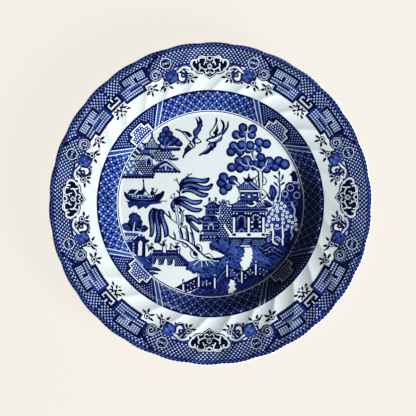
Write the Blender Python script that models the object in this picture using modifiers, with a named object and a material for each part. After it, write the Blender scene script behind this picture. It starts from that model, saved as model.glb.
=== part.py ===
"""China dinner plate: a fired body with its foot ring, four underglaze transfer prints and three glaze coats.

The origin is the centre of the foot ring's resting face, and +Z points up out of the well. The
plate's section is walked out from the axis as lines and arcs, and every layer is that walk moved
inwards by its own depth, so the layers nest with an even gap. Swirled flutes then lift the rim.
"""

import math

import bpy

MM = 0.001

# Driving dimensions, in millimetres.
PLATE_R = 130.0  # widest radius, over the lip
WELL_FLAT_R = 72.0  # where the flat of the well ends
WELL_Z = 7.3  # glazed face of the well above the table
COVE_BEND_R = 10.0
WALL_DEG = 34.0
WALL_LENGTH = 11.3
SHOULDER_BEND_R = 12.0
RIM_DEG = 9.0
WALL_THICK = 5.0
LIP_THICK = 4.0

FOOT_INNER_R = 69.9  # the bare ring that rests on the table
FOOT_OUTER_R = 73.7
FOOT_EDGE_R = 0.9
FOOT_SIDE_DEG = 72.0
RECESS_Z = 2.3  # ceiling of the hollow inside the foot ring
RECESS_COVE_R = 1.5

COAT = 0.3  # thickness of a glaze coat or of a print
GAP = 0.3  # clearance between neighbouring layers
PRINT_DEPTH = COAT + GAP
FACE_BODY_DEPTH = 2 * (COAT + GAP)
BACK_BODY_DEPTH = COAT + GAP

CENTRE_PRINT_R = 73.5
INNER_BORDER_R = (74.6, 90.5)
RIM_BORDER_R = (96.0, 127.0)
EDGE_LINE_MARGIN = 0.4  # from the rim border to the edge line, and past the lip's crown

FLUTES = 30
FLUTE_START_R = 88.0
FLUTE_FULL_R = 94.0
FLUTE_RISE = 0.75  # crest above valley
FLUTE_EDGE_LOBE = 0.6  # how far the lip stands out at a valley past a crest
SWIRL_DEG_PER_MM = 0.49

STEPS = 60  # two to a flute, a valley and a crest
ARC_STEP_DEG = 12.5
MERGE = 1e-5


def clear_scene():
    for obj in list(bpy.data.objects):
        bpy.data.objects.remove(obj)


class Walk:
    """A section line walked outwards, as points (radius, height, heading in degrees above level)."""

    def __init__(self, radius, height, heading=0.0):
        self.points = [(radius, height, heading)]

    def line(self, length):
        radius, height, heading = self.points[-1]
        a = math.radians(heading)
        self.points.append((radius + length * math.cos(a), height + length * math.sin(a), heading))

    def line_to_radius(self, radius):
        at, _, heading = self.points[-1]
        self.line((radius - at) / math.cos(math.radians(heading)))

    def bend(self, bend_r, turn):
        """Turns upwards by turn degrees, or downwards where it is negative."""
        radius, height, heading = self.points[-1]
        side = math.copysign(1, turn)
        start = math.radians(heading)
        steps = max(1, math.ceil(abs(turn) / ARC_STEP_DEG))
        for i in range(1, steps + 1):
            a = start + math.radians(turn * i / steps)
            r = radius + side * bend_r * (math.sin(a) - math.sin(start))
            z = height + side * bend_r * (math.cos(start) - math.cos(a))
            self.points.append((r, z, math.degrees(a)))


def face_walk():
    """The glazed face from the axis to the crown of the lip."""
    walk = Walk(0, WELL_Z)
    walk.line_to_radius(WELL_FLAT_R)
    walk.bend(COVE_BEND_R, WALL_DEG)
    walk.line(WALL_LENGTH)
    walk.bend(SHOULDER_BEND_R, RIM_DEG - WALL_DEG)
    for radius in (FLUTE_FULL_R, RIM_BORDER_R[0] + 12, RIM_BORDER_R[0] + 24, PLATE_R - LIP_THICK / 2):
        walk.line_to_radius(radius)
    return walk.points


FACE = face_walk()
LIP_R, LIP_CROWN_Z, _ = FACE[-1]
LIP_Z = LIP_CROWN_Z - LIP_THICK / 2 * math.cos(math.radians(RIM_DEG))
RIM_R, RIM_Z, _ = [p for p in FACE if p[0] < FLUTE_FULL_R][-1]


def sunk(points, depth):
    """Section points moved depth below a line that has open air over it."""
    return [
        (r + depth * math.sin(math.radians(a)), z - depth * math.cos(math.radians(a)))
        for r, z, a in points
    ]


def between(points, low, high):
    """The walk from radius low to radius high, with both ends worked out on it."""
    kept = [on_walk(points, low)] + [p for p in points if low < p[0] < high]
    return kept + [on_walk(points, high)]


def on_walk(points, radius):
    for (r0, z0, a0), (r1, z1, a1) in zip(points, points[1:]):
        if r0 <= radius <= r1:
            t = (radius - r0) / (r1 - r0)
            return radius, z0 + t * (z1 - z0), a0 + t * (a1 - a0)
    return points[-1]


def lip_arc(from_deg, to_deg, from_depth, to_depth, steps=4):
    """Points round the lip's centre, from one angle above level to another."""
    arc = []
    for i in range(steps + 1):
        t = i / steps
        a = math.radians(from_deg + t * (to_deg - from_deg))
        radius = LIP_THICK / 2 - from_depth - t * (to_depth - from_depth)
        arc.append((LIP_R + radius * math.cos(a), LIP_Z + radius * math.sin(a)))
    return arc


def back_line(depth):
    """The underside from beside the foot ring to the lip, depth inside its glazed surface."""
    bent = [p for p in FACE if p[0] > WELL_FLAT_R and p[2] > RIM_DEG / 2]
    line = []
    for r, z, a in bent[:-1]:
        t = max(0.0, (r - RIM_R) / (LIP_R - RIM_R))
        thick = WALL_THICK + t * (LIP_THICK - WALL_THICK) - depth
        line.extend(sunk([(r, z, a)], thick))
    return [p for p in line if p[0] > FOOT_OUTER_R + 3]


def foot_outer():
    """The foot ring's outer side, bare at the table and sinking to the body's depth under the glaze."""
    walk = Walk(FOOT_OUTER_R, 0)
    walk.bend(FOOT_EDGE_R, FOOT_SIDE_DEG)
    walk.bend(2 * FOOT_EDGE_R, WALL_DEG - FOOT_SIDE_DEG)
    last = len(walk.points) - 1
    return [raised(point, BACK_BODY_DEPTH * i / last) for i, point in enumerate(walk.points)]


def raised(point, depth):
    """A section point moved depth above a line that has open air under it."""
    r, z, a = point
    return r - depth * math.sin(math.radians(a)), z + depth * math.cos(math.radians(a))


def foot_inner(depth):
    """The recess and the foot ring's inner side, from the axis to the table."""
    walk = Walk(0, RECESS_Z)
    drop = 1 - math.cos(math.radians(FOOT_SIDE_DEG))
    reach = math.sin(math.radians(FOOT_SIDE_DEG))
    straight = (RECESS_Z - (RECESS_COVE_R + FOOT_EDGE_R) * drop) / reach
    bends = (RECESS_COVE_R + FOOT_EDGE_R) * reach
    slant = straight * math.cos(math.radians(FOOT_SIDE_DEG))
    walk.line_to_radius(FOOT_INNER_R - bends - slant)
    walk.bend(RECESS_COVE_R, -FOOT_SIDE_DEG)
    walk.line(straight)
    walk.bend(FOOT_EDGE_R, FOOT_SIDE_DEG)
    last = len(walk.points) - 1
    return [raised(point, min(depth, BACK_BODY_DEPTH * (last - i) / 3))
            for i, point in enumerate(walk.points)]


def body_section():
    """The fired body's outline: over the face, round the lip, back under to the axis."""
    face = sunk(FACE[:-1], FACE_BODY_DEPTH)
    lip = lip_arc(90 + RIM_DEG, -90 + RIM_DEG, FACE_BODY_DEPTH, BACK_BODY_DEPTH)
    back = back_line(BACK_BODY_DEPTH)[::-1]
    return face + lip + back + foot_outer()[::-1] + foot_inner(BACK_BODY_DEPTH)[::-1]


def face_layer(low, high, depth):
    """A closed strip of the face, one coat thick, with its top at the given depth."""
    strip = between(FACE, low, high)
    return sunk(strip, depth) + sunk(strip, depth + COAT)[::-1]


def disc_section():
    """The centre print as a disc that ends where the well starts to rise."""
    top = WELL_Z - PRINT_DEPTH
    radius = min(CENTRE_PRINT_R, WELL_FLAT_R)
    return [(0, top), (radius, top), (radius, top - COAT), (0, top - COAT)]


def face_glaze_section():
    outer = sunk(FACE[:-1], 0) + lip_arc(90 + RIM_DEG, 0, 0, 0, 3)
    inner = sunk(FACE[:-1], COAT) + lip_arc(90 + RIM_DEG, 0, COAT, COAT, 3)
    return outer + inner[::-1]


def back_glaze_section():
    gap_deg = math.degrees(2 * GAP / LIP_THICK)
    outer = lip_arc(-gap_deg, -90 + RIM_DEG, 0, 0, 2) + back_line(0)[::-1]
    inner = lip_arc(-gap_deg, -90 + RIM_DEG, COAT, COAT, 2) + back_line(COAT)[::-1]
    return outer + inner[::-1]


def recess_glaze_section():
    flat = foot_inner(0)[1][0] - GAP
    return [(0, RECESS_Z + COAT), (flat, RECESS_Z + COAT), (flat, RECESS_Z), (0, RECESS_Z)]


def turned(name, section, material, collection):
    """A solid turned from a closed section that runs down its outer side."""
    touches_axis = abs(section[0][0]) < MERGE and abs(section[-1][0]) < MERGE
    count = len(section)
    edges = [(i, i + 1) for i in range(count - 1)]
    if not touches_axis:
        edges.append((count - 1, 0))
    mesh = bpy.data.meshes.new(name)
    mesh.from_pydata([(r * MM, 0, z * MM) for r, z in section], edges, [])
    profile = bpy.data.objects.new(name, mesh)
    collection.objects.link(profile)
    screw = profile.modifiers.new("turn", "SCREW")
    screw.axis = "Z"
    screw.angle = math.tau
    screw.steps = STEPS
    screw.render_steps = STEPS
    screw.use_merge_vertices = True
    screw.merge_threshold = MERGE
    screw.use_smooth_shade = True
    bpy.context.view_layer.update()
    graph = bpy.context.evaluated_depsgraph_get()
    solid = bpy.data.meshes.new_from_object(profile.evaluated_get(graph))
    profile.modifiers.clear()
    profile.data = solid
    bpy.data.meshes.remove(mesh)
    solid.name = name
    solid.materials.append(material)
    swirl_flutes(solid)
    solid.shade_smooth()
    solid.set_sharp_from_angle(angle=math.radians(35))
    return profile


def swirl_flutes(mesh):
    """Scoops the rim into swirled flutes that meet in crests. They fade out below the face."""
    for vertex in mesh.vertices:
        x, y, z = vertex.co / MM
        radius = math.hypot(x, y)
        if radius <= FLUTE_START_R:
            continue
        angle = math.atan2(y, x)
        crest = (1 - math.cos(FLUTES * angle)) / 2
        grown = min(1.0, (radius - FLUTE_START_R) / (FLUTE_FULL_R - FLUTE_START_R))
        below = RIM_Z + (radius - RIM_R) * math.tan(math.radians(RIM_DEG)) - z
        share = min(1.0, max(0.0, 1 - below / WALL_THICK))
        z += FLUTE_RISE * (crest - 0.5) * grown * share
        at_lip = max(0.0, (radius - RIM_BORDER_R[1]) / (PLATE_R - RIM_BORDER_R[1]))
        radius -= FLUTE_EDGE_LOBE * crest * at_lip
        angle -= math.radians(SWIRL_DEG_PER_MM) * (radius - FLUTE_START_R)
        vertex.co = (radius * math.cos(angle) * MM, radius * math.sin(angle) * MM, z * MM)


def ceramic(name, colour, roughness, alpha=1.0):
    material = bpy.data.materials.new(name)
    material.use_nodes = True
    shader = material.node_tree.nodes["Principled BSDF"]
    shader.inputs["Base Color"].default_value = (*colour, 1.0)
    shader.inputs["Roughness"].default_value = roughness
    shader.inputs["Metallic"].default_value = 0.0
    shader.inputs["Alpha"].default_value = alpha
    material.diffuse_color = (*colour, alpha)
    return material


def main():
    clear_scene()
    plate = bpy.data.collections.new("china_dinner_plate")
    bpy.context.scene.collection.children.link(plate)
    biscuit = ceramic("biscuit_earthenware", (0.80, 0.77, 0.70), 0.75)
    cobalt = ceramic("cobalt_transfer", (0.035, 0.055, 0.21), 0.2)
    edge_cobalt = ceramic("cobalt_edge", (0.02, 0.03, 0.12), 0.2)
    glaze = ceramic("clear_glaze", (0.86, 0.88, 0.88), 0.08)

    edge_r = RIM_BORDER_R[1] + EDGE_LINE_MARGIN
    turned("biscuit_body", body_section(), biscuit, plate)
    turned("centre_scene_print", disc_section(), cobalt, plate)
    turned("inner_border_print", face_layer(*INNER_BORDER_R, PRINT_DEPTH), cobalt, plate)
    turned("rim_border_print", face_layer(*RIM_BORDER_R, PRINT_DEPTH), cobalt, plate)
    turned("edge_line_print", face_layer(edge_r, LIP_R + EDGE_LINE_MARGIN, PRINT_DEPTH), edge_cobalt, plate)
    turned("face_glaze", face_glaze_section(), glaze, plate)
    turned("back_glaze", back_glaze_section(), glaze, plate)
    turned("foot_recess_glaze", recess_glaze_section(), glaze, plate)


main()
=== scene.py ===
"""Looks of the china dinner plate: glazed earthenware with a blue transfer-printed chinoiserie scene.

The plate is one smooth turned surface with swirled flutes on its rim. The prints are thin films
that lie on that surface, cut to the drawn shapes. Every film carries an "ink" value, from bare
white glaze (0) to the darkest cobalt (1), which one glaze material turns into colour.
Lengths are in millimetres until a mesh is made. Angles run anticlockwise from +X, in degrees.
"""

import math

import bpy
import numpy as np
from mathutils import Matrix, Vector
from mathutils.geometry import tessellate_polygon


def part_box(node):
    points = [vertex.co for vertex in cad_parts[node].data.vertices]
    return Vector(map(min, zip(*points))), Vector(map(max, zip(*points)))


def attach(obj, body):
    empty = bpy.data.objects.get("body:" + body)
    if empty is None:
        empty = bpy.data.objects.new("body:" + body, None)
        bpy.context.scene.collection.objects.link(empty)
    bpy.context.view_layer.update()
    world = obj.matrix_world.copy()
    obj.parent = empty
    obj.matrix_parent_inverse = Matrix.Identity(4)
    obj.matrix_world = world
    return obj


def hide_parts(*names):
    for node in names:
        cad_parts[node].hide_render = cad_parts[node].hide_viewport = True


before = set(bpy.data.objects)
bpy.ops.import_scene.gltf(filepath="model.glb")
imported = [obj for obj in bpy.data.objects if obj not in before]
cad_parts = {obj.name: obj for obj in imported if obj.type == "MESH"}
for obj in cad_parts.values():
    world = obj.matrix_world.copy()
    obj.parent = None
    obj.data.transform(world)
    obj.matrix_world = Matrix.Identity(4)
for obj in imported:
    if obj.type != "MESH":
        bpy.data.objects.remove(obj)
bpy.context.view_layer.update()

MM = 0.001
rng = np.random.default_rng(11)

# ---------------------------------------------------------------- the plate's surface


def frame_mm(metres, digits):
    """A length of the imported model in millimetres, rounded past the slack of its facets."""
    return round(metres / MM, digits)


GLAZE_COAT = 0.3
face_low, face_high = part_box("face_glaze")
PLATE_R = frame_mm(face_high.y, 0)
WELL_FLAT_R = 72.0
COVE_BEND_R = 10.0
WALL_DEG = 34.0
WALL_LENGTH = 11.3
SHOULDER_BEND_R = 12.0
RIM_DEG = 9.0
WALL_THICK = 5.0
LIP_BEND_R = 2.0
WELL_Z = frame_mm(face_low.z, 1) + GLAZE_COAT
RECESS_Z = frame_mm(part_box("foot_recess_glaze")[0].z, 1)
FOOT_INNER_R = 69.9
FOOT_OUTER_R = 73.7

FLUTES = 30
FLUTE_PITCH = 360.0 / FLUTES
FLUTE_CREST_DEG = 5.0  # where a crest crosses FLUTE_CREST_R
FLUTE_CREST_R = 90.6
FLUTE_START_R = 87.5
FLUTE_FULL_R = 93.0
FLUTE_RISE = 0.72  # of a crest over a valley
FLUTE_EDGE_LOBE = 0.9  # how far the edge draws in at a crest
FACE_LOBE_START, FACE_LOBE_GROWTH = 120.0, 8.0  # where the edge's lobes start on the face
BACK_LOBE_START, BACK_LOBE_GROWTH = 122.0, 6.0  # and on the back
MEAN_SCOOP = 1 / 3  # of a whole flute
FLUTE_CREST_ROUND = 0.16  # share of half a flute that rounds its crest over
SWIRL_DEG_PER_MM = 0.49

SIN_W, COS_W = math.sin(math.radians(WALL_DEG)), math.cos(math.radians(WALL_DEG))
SIN_R, COS_R = math.sin(math.radians(RIM_DEG)), math.cos(math.radians(RIM_DEG))

# Corners of the face's section, as radius and height.
WALL_AT = (WELL_FLAT_R + COVE_BEND_R * SIN_W, WELL_Z + COVE_BEND_R * (1 - COS_W))
SHOULDER_AT = (WALL_AT[0] + WALL_LENGTH * COS_W, WALL_AT[1] + WALL_LENGTH * SIN_W)
SHOULDER_HUB = (SHOULDER_AT[0] + SHOULDER_BEND_R * SIN_W, SHOULDER_AT[1] - SHOULDER_BEND_R * COS_W)
RIM_AT = (SHOULDER_HUB[0] - SHOULDER_BEND_R * SIN_R, SHOULDER_HUB[1] + SHOULDER_BEND_R * COS_R)
LIP_HUB_R = PLATE_R - LIP_BEND_R
LIP_START = LIP_HUB_R - LIP_BEND_R * SIN_R
LIP_START_Z = RIM_AT[1] + (LIP_START - RIM_AT[0]) * SIN_R / COS_R
LIP_HUB_Z = LIP_START_Z - LIP_BEND_R * COS_R
# Where the face meets the back, a little under the lip's outermost line.
FACE_END = LIP_START + math.pi * LIP_BEND_R / 2 + 0.3
# Where the glaze ends at the foot ring, outside and inside it, as radius and height.
FOOT_OUTER_JOINT, FOOT_INNER_JOINT = (74.45, 1.6), (68.85, 1.3)


def turned_face(s):
    """Radius and height of the unfluted face. s is the radius, and goes on past it round the lip."""
    s = np.asarray(s, float)
    cove = WELL_Z + COVE_BEND_R - np.sqrt(np.maximum(0, COVE_BEND_R**2 - (s - WELL_FLAT_R) ** 2))
    wall = WALL_AT[1] + (s - WALL_AT[0]) * SIN_W / COS_W
    over = SHOULDER_BEND_R**2 - (s - SHOULDER_HUB[0]) ** 2
    shoulder = SHOULDER_HUB[1] + np.sqrt(np.maximum(0, over))
    rim = RIM_AT[1] + (s - RIM_AT[0]) * SIN_R / COS_R
    turn = math.radians(90 + RIM_DEG) - (s - LIP_START) / LIP_BEND_R
    lip_r = LIP_HUB_R + LIP_BEND_R * np.cos(turn)
    lip_z = LIP_HUB_Z + LIP_BEND_R * np.sin(turn)
    stations = [s < WELL_FLAT_R, s < WALL_AT[0], s < SHOULDER_AT[0], s < RIM_AT[0], s < LIP_START]
    z = np.select(stations, [np.full_like(s, WELL_Z), cove, wall, shoulder, rim], lip_z)
    return np.where(s < LIP_START, s, lip_r), z


def flute_scoop(radius, degrees):
    """0 in the middle of a flute and 1 on the crest between two, at that radius and angle."""
    crest = FLUTE_CREST_DEG - SWIRL_DEG_PER_MM * (radius - FLUTE_CREST_R)
    across = np.mod(degrees - crest, FLUTE_PITCH) / FLUTE_PITCH
    short = 1 - np.abs(2 * across - 1)  # 0 on a crest, 1 in mid flute
    w = FLUTE_CREST_ROUND
    rounded = (1 - w) - (1 - w) / w * short**2
    return np.where(short < w, rounded, (1 - short) ** 2)


def surface(s, degrees):
    """Points of the glazed face in millimetres, as an array of x, y, z."""
    radius, z = turned_face(s)
    scoop = flute_scoop(radius, degrees)
    grown = np.clip((radius - FLUTE_START_R) / (FLUTE_FULL_R - FLUTE_START_R), 0, 1)
    grown = grown * grown * (3 - 2 * grown)
    round_lip = np.clip((s - LIP_START) / (math.pi * LIP_BEND_R), 0, 1)
    z = z + FLUTE_RISE * (scoop - MEAN_SCOOP) * grown * (1 - round_lip)
    near_lip = np.clip((np.asarray(s) - FACE_LOBE_START) / FACE_LOBE_GROWTH, 0, 1)
    radius = radius - FLUTE_EDGE_LOBE * scoop * near_lip**2
    a = np.radians(degrees)
    return np.stack([radius * np.cos(a), radius * np.sin(a), z], axis=-1)


def surface_normal(s, degrees):
    """The face's unit normals, from points a short step away on each side."""
    step = 0.02
    s = np.maximum(np.asarray(s, float), 4 * step)
    turn = np.degrees(step / s)
    out = surface(s + step, degrees) - surface(s - step, degrees)
    round_ = surface(s, degrees + turn) - surface(s, degrees - turn)
    normal = np.cross(out, round_)
    return normal / np.linalg.norm(normal, axis=-1, keepdims=True)


# ---------------------------------------------------------------- materials

GLAZE_WHITE = (0.826, 0.915, 0.935)
THICK_GLAZE = (0.76, 0.84, 0.86)
GLAZE_IOR = 1.5
COAT_WEIGHT, COAT_ROUGHNESS = 0.6, 0.05
NOISE_SPAN = (0.3, 0.7)  # most of a noise texture's values
BUMP_METRES = 0.0002


def add_node(tree, kind, **values):
    """A new node. Each value sets the input of that name, or else the property."""
    node = tree.nodes.new(kind)
    for key, value in values.items():
        if key in node.inputs:
            node.inputs[key].default_value = value
        else:
            setattr(node, key, value)
    return node


def noise(tree, scale_per_m, detail=3.0, roughness=0.55):
    """Smooth noise in the object's own space."""
    coords = add_node(tree, "ShaderNodeTexCoord")
    node = add_node(tree, "ShaderNodeTexNoise", Scale=scale_per_m, Detail=detail, Roughness=roughness)
    tree.links.new(coords.outputs["Object"], node.inputs["Vector"])
    return node.outputs["Fac"]


def remap(tree, value, low, high, to_low, to_high):
    """The value stretched from one span to another, and clamped to it."""
    node = add_node(tree, "ShaderNodeMapRange")
    for i, number in enumerate((low, high, to_low, to_high), start=1):
        node.inputs[i].default_value = number
    tree.links.new(value, node.inputs["Value"])
    return node.outputs["Result"]


def combine(tree, operation, a, b):
    """A sum or product of two sockets or numbers."""
    node = add_node(tree, "ShaderNodeMath", operation=operation)
    for socket, value in zip(node.inputs, (a, b)):
        if isinstance(value, (int, float)):
            socket.default_value = value
        else:
            tree.links.new(value, socket)
    return node.outputs[0]


def glossy_shader(tree, roughness):
    """The shader of a fired glaze, for the print and the bare white alike."""
    shader = tree.nodes["Principled BSDF"]
    shader.inputs["IOR"].default_value = GLAZE_IOR
    shader.inputs["Coat Weight"].default_value = COAT_WEIGHT
    shader.inputs["Coat Roughness"].default_value = COAT_ROUGHNESS
    shader.inputs["Coat IOR"].default_value = GLAZE_IOR
    tree.links.new(roughness, shader.inputs["Roughness"])
    return shader


def glaze_bump(tree, shader, strength):
    """The faint orange-peel of a fired glaze."""
    bump = add_node(tree, "ShaderNodeBump", Strength=strength, Distance=BUMP_METRES)
    tree.links.new(noise(tree, 160, 1.0), bump.inputs["Height"])
    tree.links.new(bump.outputs["Normal"], shader.inputs["Normal"])


def ramp(tree, value, stops):
    """Colours along a value, as places from 0 to 1 and colours."""
    node = add_node(tree, "ShaderNodeValToRGB")
    elements = node.color_ramp.elements
    while len(elements) < len(stops):
        elements.new(0.5)
    for element, (place, colour) in zip(elements, stops):
        element.position = place
        element.color = (*colour, 1)
    tree.links.new(value, node.inputs["Fac"])
    return node.outputs["Color"]


COBALT_STOPS = (
    (0.00, GLAZE_WHITE),
    (0.10, (0.57, 0.72, 0.87)),
    (0.25, (0.22, 0.35, 0.68)),
    (0.45, (0.060, 0.125, 0.43)),
    (0.65, (0.014, 0.034, 0.23)),
    (0.85, (0.003, 0.006, 0.088)),
    (1.00, (0.0010, 0.0014, 0.024)),
)


CLAY_STOPS = (
    (0.0, (0.72, 0.68, 0.58)),
    (0.7, (0.62, 0.58, 0.49)),
    (1.0, (0.36, 0.34, 0.30)),
)


def print_material():
    """Cobalt transfer under the glaze. The ink's strength is mottled, as a fired print is."""
    material = bpy.data.materials.new("underglaze_cobalt")
    material.use_nodes = True
    tree = material.node_tree
    ink = add_node(tree, "ShaderNodeAttribute", attribute_name="ink").outputs["Fac"]
    cloud = remap(tree, noise(tree, 45, 2.0), *NOISE_SPAN, -0.07, 0.07)
    stipple = remap(tree, noise(tree, 1400, 2.0), *NOISE_SPAN, -0.09, 0.09)
    mottle = combine(tree, "ADD", cloud, stipple)
    printed = remap(tree, ink, 0.0, 0.3, 0.0, 1.0)
    strength = combine(tree, "ADD", ink, combine(tree, "MULTIPLY", mottle, printed))
    colour = ramp(tree, strength, COBALT_STOPS)
    shader = glossy_shader(tree, remap(tree, noise(tree, 300), *NOISE_SPAN, 0.10, 0.2))
    tree.links.new(colour, shader.inputs["Base Color"])
    glaze_bump(tree, shader, 0.12)
    return material


def white_glaze_material():
    """Clear glaze over the white body, a little cooler where it lies thick."""
    material = bpy.data.materials.new("white_glaze")
    material.use_nodes = True
    tree = material.node_tree
    tint = remap(tree, noise(tree, 14, 3.0), *NOISE_SPAN, 0.0, 1.0)
    speck = remap(tree, noise(tree, 900, 2.0), 0.70, 0.74, 0.0, 0.35)
    shade = combine(tree, "ADD", combine(tree, "MULTIPLY", tint, 0.5), speck)
    colour = ramp(tree, shade, ((0.0, GLAZE_WHITE), (1.0, THICK_GLAZE)))
    shader = glossy_shader(tree, remap(tree, noise(tree, 300), *NOISE_SPAN, 0.08, 0.16))
    tree.links.new(colour, shader.inputs["Base Color"])
    glaze_bump(tree, shader, 0.12)
    return material


def bare_clay_material():
    """The unglazed foot: matt cream clay, slightly grey where it has rubbed on shelves."""
    material = bpy.data.materials.new("bare_clay")
    material.use_nodes = True
    tree = material.node_tree
    grime = remap(tree, noise(tree, 220, 5.0, 0.65), 0.35, 0.75, 0.0, 1.0)
    colour = ramp(tree, grime, CLAY_STOPS)
    shader = tree.nodes["Principled BSDF"]
    tree.links.new(colour, shader.inputs["Base Color"])
    tree.links.new(remap(tree, grime, 0.0, 1.0, 0.75, 0.9), shader.inputs["Roughness"])
    bump = add_node(tree, "ShaderNodeBump", Strength=0.5, Distance=BUMP_METRES)
    tree.links.new(noise(tree, 2600, 4.0, 0.7), bump.inputs["Height"])
    tree.links.new(bump.outputs["Normal"], shader.inputs["Normal"])
    return material


PRINT = print_material()
WHITE = white_glaze_material()
CLAY = bare_clay_material()


# ---------------------------------------------------------------- making meshes

def make_piece(name, points_mm, faces, normals, material, ink=None):
    """One piece of the plate, riding on its body."""
    mesh = bpy.data.meshes.new(name)
    mesh.from_pydata((np.asarray(points_mm) * MM).tolist(), [], faces)
    mesh.materials.append(material)
    if ink is not None:
        layer = mesh.attributes.new("ink", "FLOAT", "POINT")
        layer.data.foreach_set("value", np.asarray(ink, np.float32))
    mesh.shade_smooth()
    if normals is not None:
        mesh.normals_split_custom_set_from_vertices(np.asarray(normals).tolist())
    obj = bpy.data.objects.new(name, mesh)
    bpy.context.scene.collection.objects.link(obj)
    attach(obj, "root")
    return obj


def ring_faces(rings, steps):
    """Quads between neighbouring closed rings of steps points each."""
    faces = []
    for i in range(rings - 1):
        for j in range(steps):
            k = (j + 1) % steps
            faces.append((i * steps + j, (i + 1) * steps + j, (i + 1) * steps + k, i * steps + k))
    return faces


FACE_STEPS_PER_FLUTE, BACK_STEPS_PER_FLUTE = 32, 12
WALL_STEP, RIM_STEP = 0.45, 0.9  # between one ring of the face's points and the next
LIP_STEPS = 10


def plate_face():
    """The glazed face from the middle of the well round the lip."""
    steps = FLUTES * FACE_STEPS_PER_FLUTE
    well = [12.0, 30.0, 50.0, 66.0, 70.0]
    wall = list(np.arange(WELL_FLAT_R, FLUTE_FULL_R, WALL_STEP))
    rim = list(np.arange(FLUTE_FULL_R, LIP_START, RIM_STEP))
    lip = list(np.linspace(LIP_START, FACE_END, LIP_STEPS))
    stations = np.array(well + wall + rim + lip)
    turn = np.arange(steps) * 360 / steps
    swirl = -SWIRL_DEG_PER_MM * (np.minimum(stations, PLATE_R) - FLUTE_CREST_R) + FLUTE_CREST_DEG
    swirl = np.where(stations < FLUTE_START_R, swirl[stations >= FLUTE_START_R][0], swirl)
    s = np.repeat(stations, steps)
    degrees = (turn[None, :] + swirl[:, None]).ravel()
    points = surface(s, degrees)
    normals = surface_normal(s, degrees)
    points = np.vstack([points, [[0, 0, WELL_Z]]])
    normals = np.vstack([normals, [[0, 0, 1]]])
    faces = ring_faces(len(stations), steps)
    hub = len(points) - 1
    faces += [(hub, j, (j + 1) % steps) for j in range(steps)]
    piece = make_piece("plate_face", points, faces, normals, WHITE)
    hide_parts("face_glaze")


def walk_arc(points, hub, bend_r, start, end, steps):
    """Adds points of an arc of a section, from one angle to another."""
    for i in range(steps + 1):
        a = math.radians(start + (end - start) * i / steps)
        points.append((hub[0] + bend_r * math.cos(a), hub[1] + bend_r * math.sin(a)))


def back_section():
    """The underside from the lip's lower half to the foot ring, as radius and height."""
    points = []
    turn = 90 + RIM_DEG - math.degrees((FACE_END - LIP_START) / LIP_BEND_R)
    walk_arc(points, (LIP_HUB_R, LIP_HUB_Z), LIP_BEND_R, turn, RIM_DEG - 90, 8)
    drop = (RIM_AT[0] + WALL_THICK * SIN_R, RIM_AT[1] - WALL_THICK * COS_R)
    edge = points[-1]
    for t in np.linspace(0, 1, 14)[1:-1]:
        points.append((edge[0] + t * (drop[0] - edge[0]), edge[1] + t * (drop[1] - edge[1])))
    bend = SHOULDER_BEND_R - WALL_THICK
    walk_arc(points, SHOULDER_HUB, bend, 90 + RIM_DEG, 90 + WALL_DEG, 8)
    return points + [(84.6, 8.17), (80.4, 4.86), (77.8, 3.46), (75.9, 2.5), (74.9, 2.06), FOOT_OUTER_JOINT]


def turned_piece(name, section, material, follow_lip=False):
    """A surface turned from a section that runs inwards under the plate."""
    section = np.array(section)
    steps = FLUTES * BACK_STEPS_PER_FLUTE
    turn = np.arange(steps) * 360 / steps
    radius = np.repeat(section[:, 0], steps)
    z = np.repeat(section[:, 1], steps)
    degrees = np.tile(turn, len(section))
    if follow_lip:
        scoop = flute_scoop(radius, degrees)
        near = np.clip((radius - BACK_LOBE_START) / BACK_LOBE_GROWTH, 0, 1) ** 2
        under = np.clip((LIP_HUB_Z - z + LIP_BEND_R) / (2 * LIP_BEND_R), 0, 1)
        z = z + FLUTE_RISE * (scoop - MEAN_SCOOP) * near * (1 - under)
        radius = radius - FLUTE_EDGE_LOBE * scoop * near
    a = np.radians(degrees)
    points = np.stack([radius * np.cos(a), radius * np.sin(a), z], axis=-1)
    return make_piece(name, points, ring_faces(len(section), steps), None, material)


def plate_back():
    """The underside: glazed from the lip to the foot, wiped bare on the foot, glazed again inside it."""
    piece = turned_piece("plate_back", back_section(), WHITE, follow_lip=True)
    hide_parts("back_glaze")
    foot = [FOOT_OUTER_JOINT, (74.3, 0.9), (74.1, 0.35), (FOOT_OUTER_R, 0.04), (73.2, 0.0), (71.8, 0.02)]
    foot += [(70.4, 0.0), (FOOT_INNER_R, 0.06), (69.4, 0.3), (69.1, 0.75), FOOT_INNER_JOINT]
    piece = turned_piece("plate_foot", foot, CLAY)
    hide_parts("biscuit_body")
    recess = [FOOT_INNER_JOINT, (68.6, 1.75), (68.2, 2.08)]
    recess += [(radius, RECESS_Z) for radius in (67.4, 60, 45, 30, 15, 3, 0.01)]
    piece = turned_piece("plate_recess", recess, WHITE)
    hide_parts("foot_recess_glaze")


plate_face()
plate_back()

# ---------------------------------------------------------------- prints

FILM_MM = 0.05  # the lowest film's height over the face
LEVEL_MM = 0.03  # between one level of ink and the next
INK_SPREAD = 0.14  # a stroke fires a little wider than it is drawn
LONGEST_EDGE = 1.3  # of a film's triangle on the curved part of the face
PATCH_STEP = 1.1  # the side of a patch's cells, at most
RING_STEP_DEG = 15
MITRE_LIMIT = 0.55  # the least cosine that a stroke's corner is sharpened by
CAP_DEGREES = (-90, -54, -18, 18, 54, 90)  # corners of a stroke's round end


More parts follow.
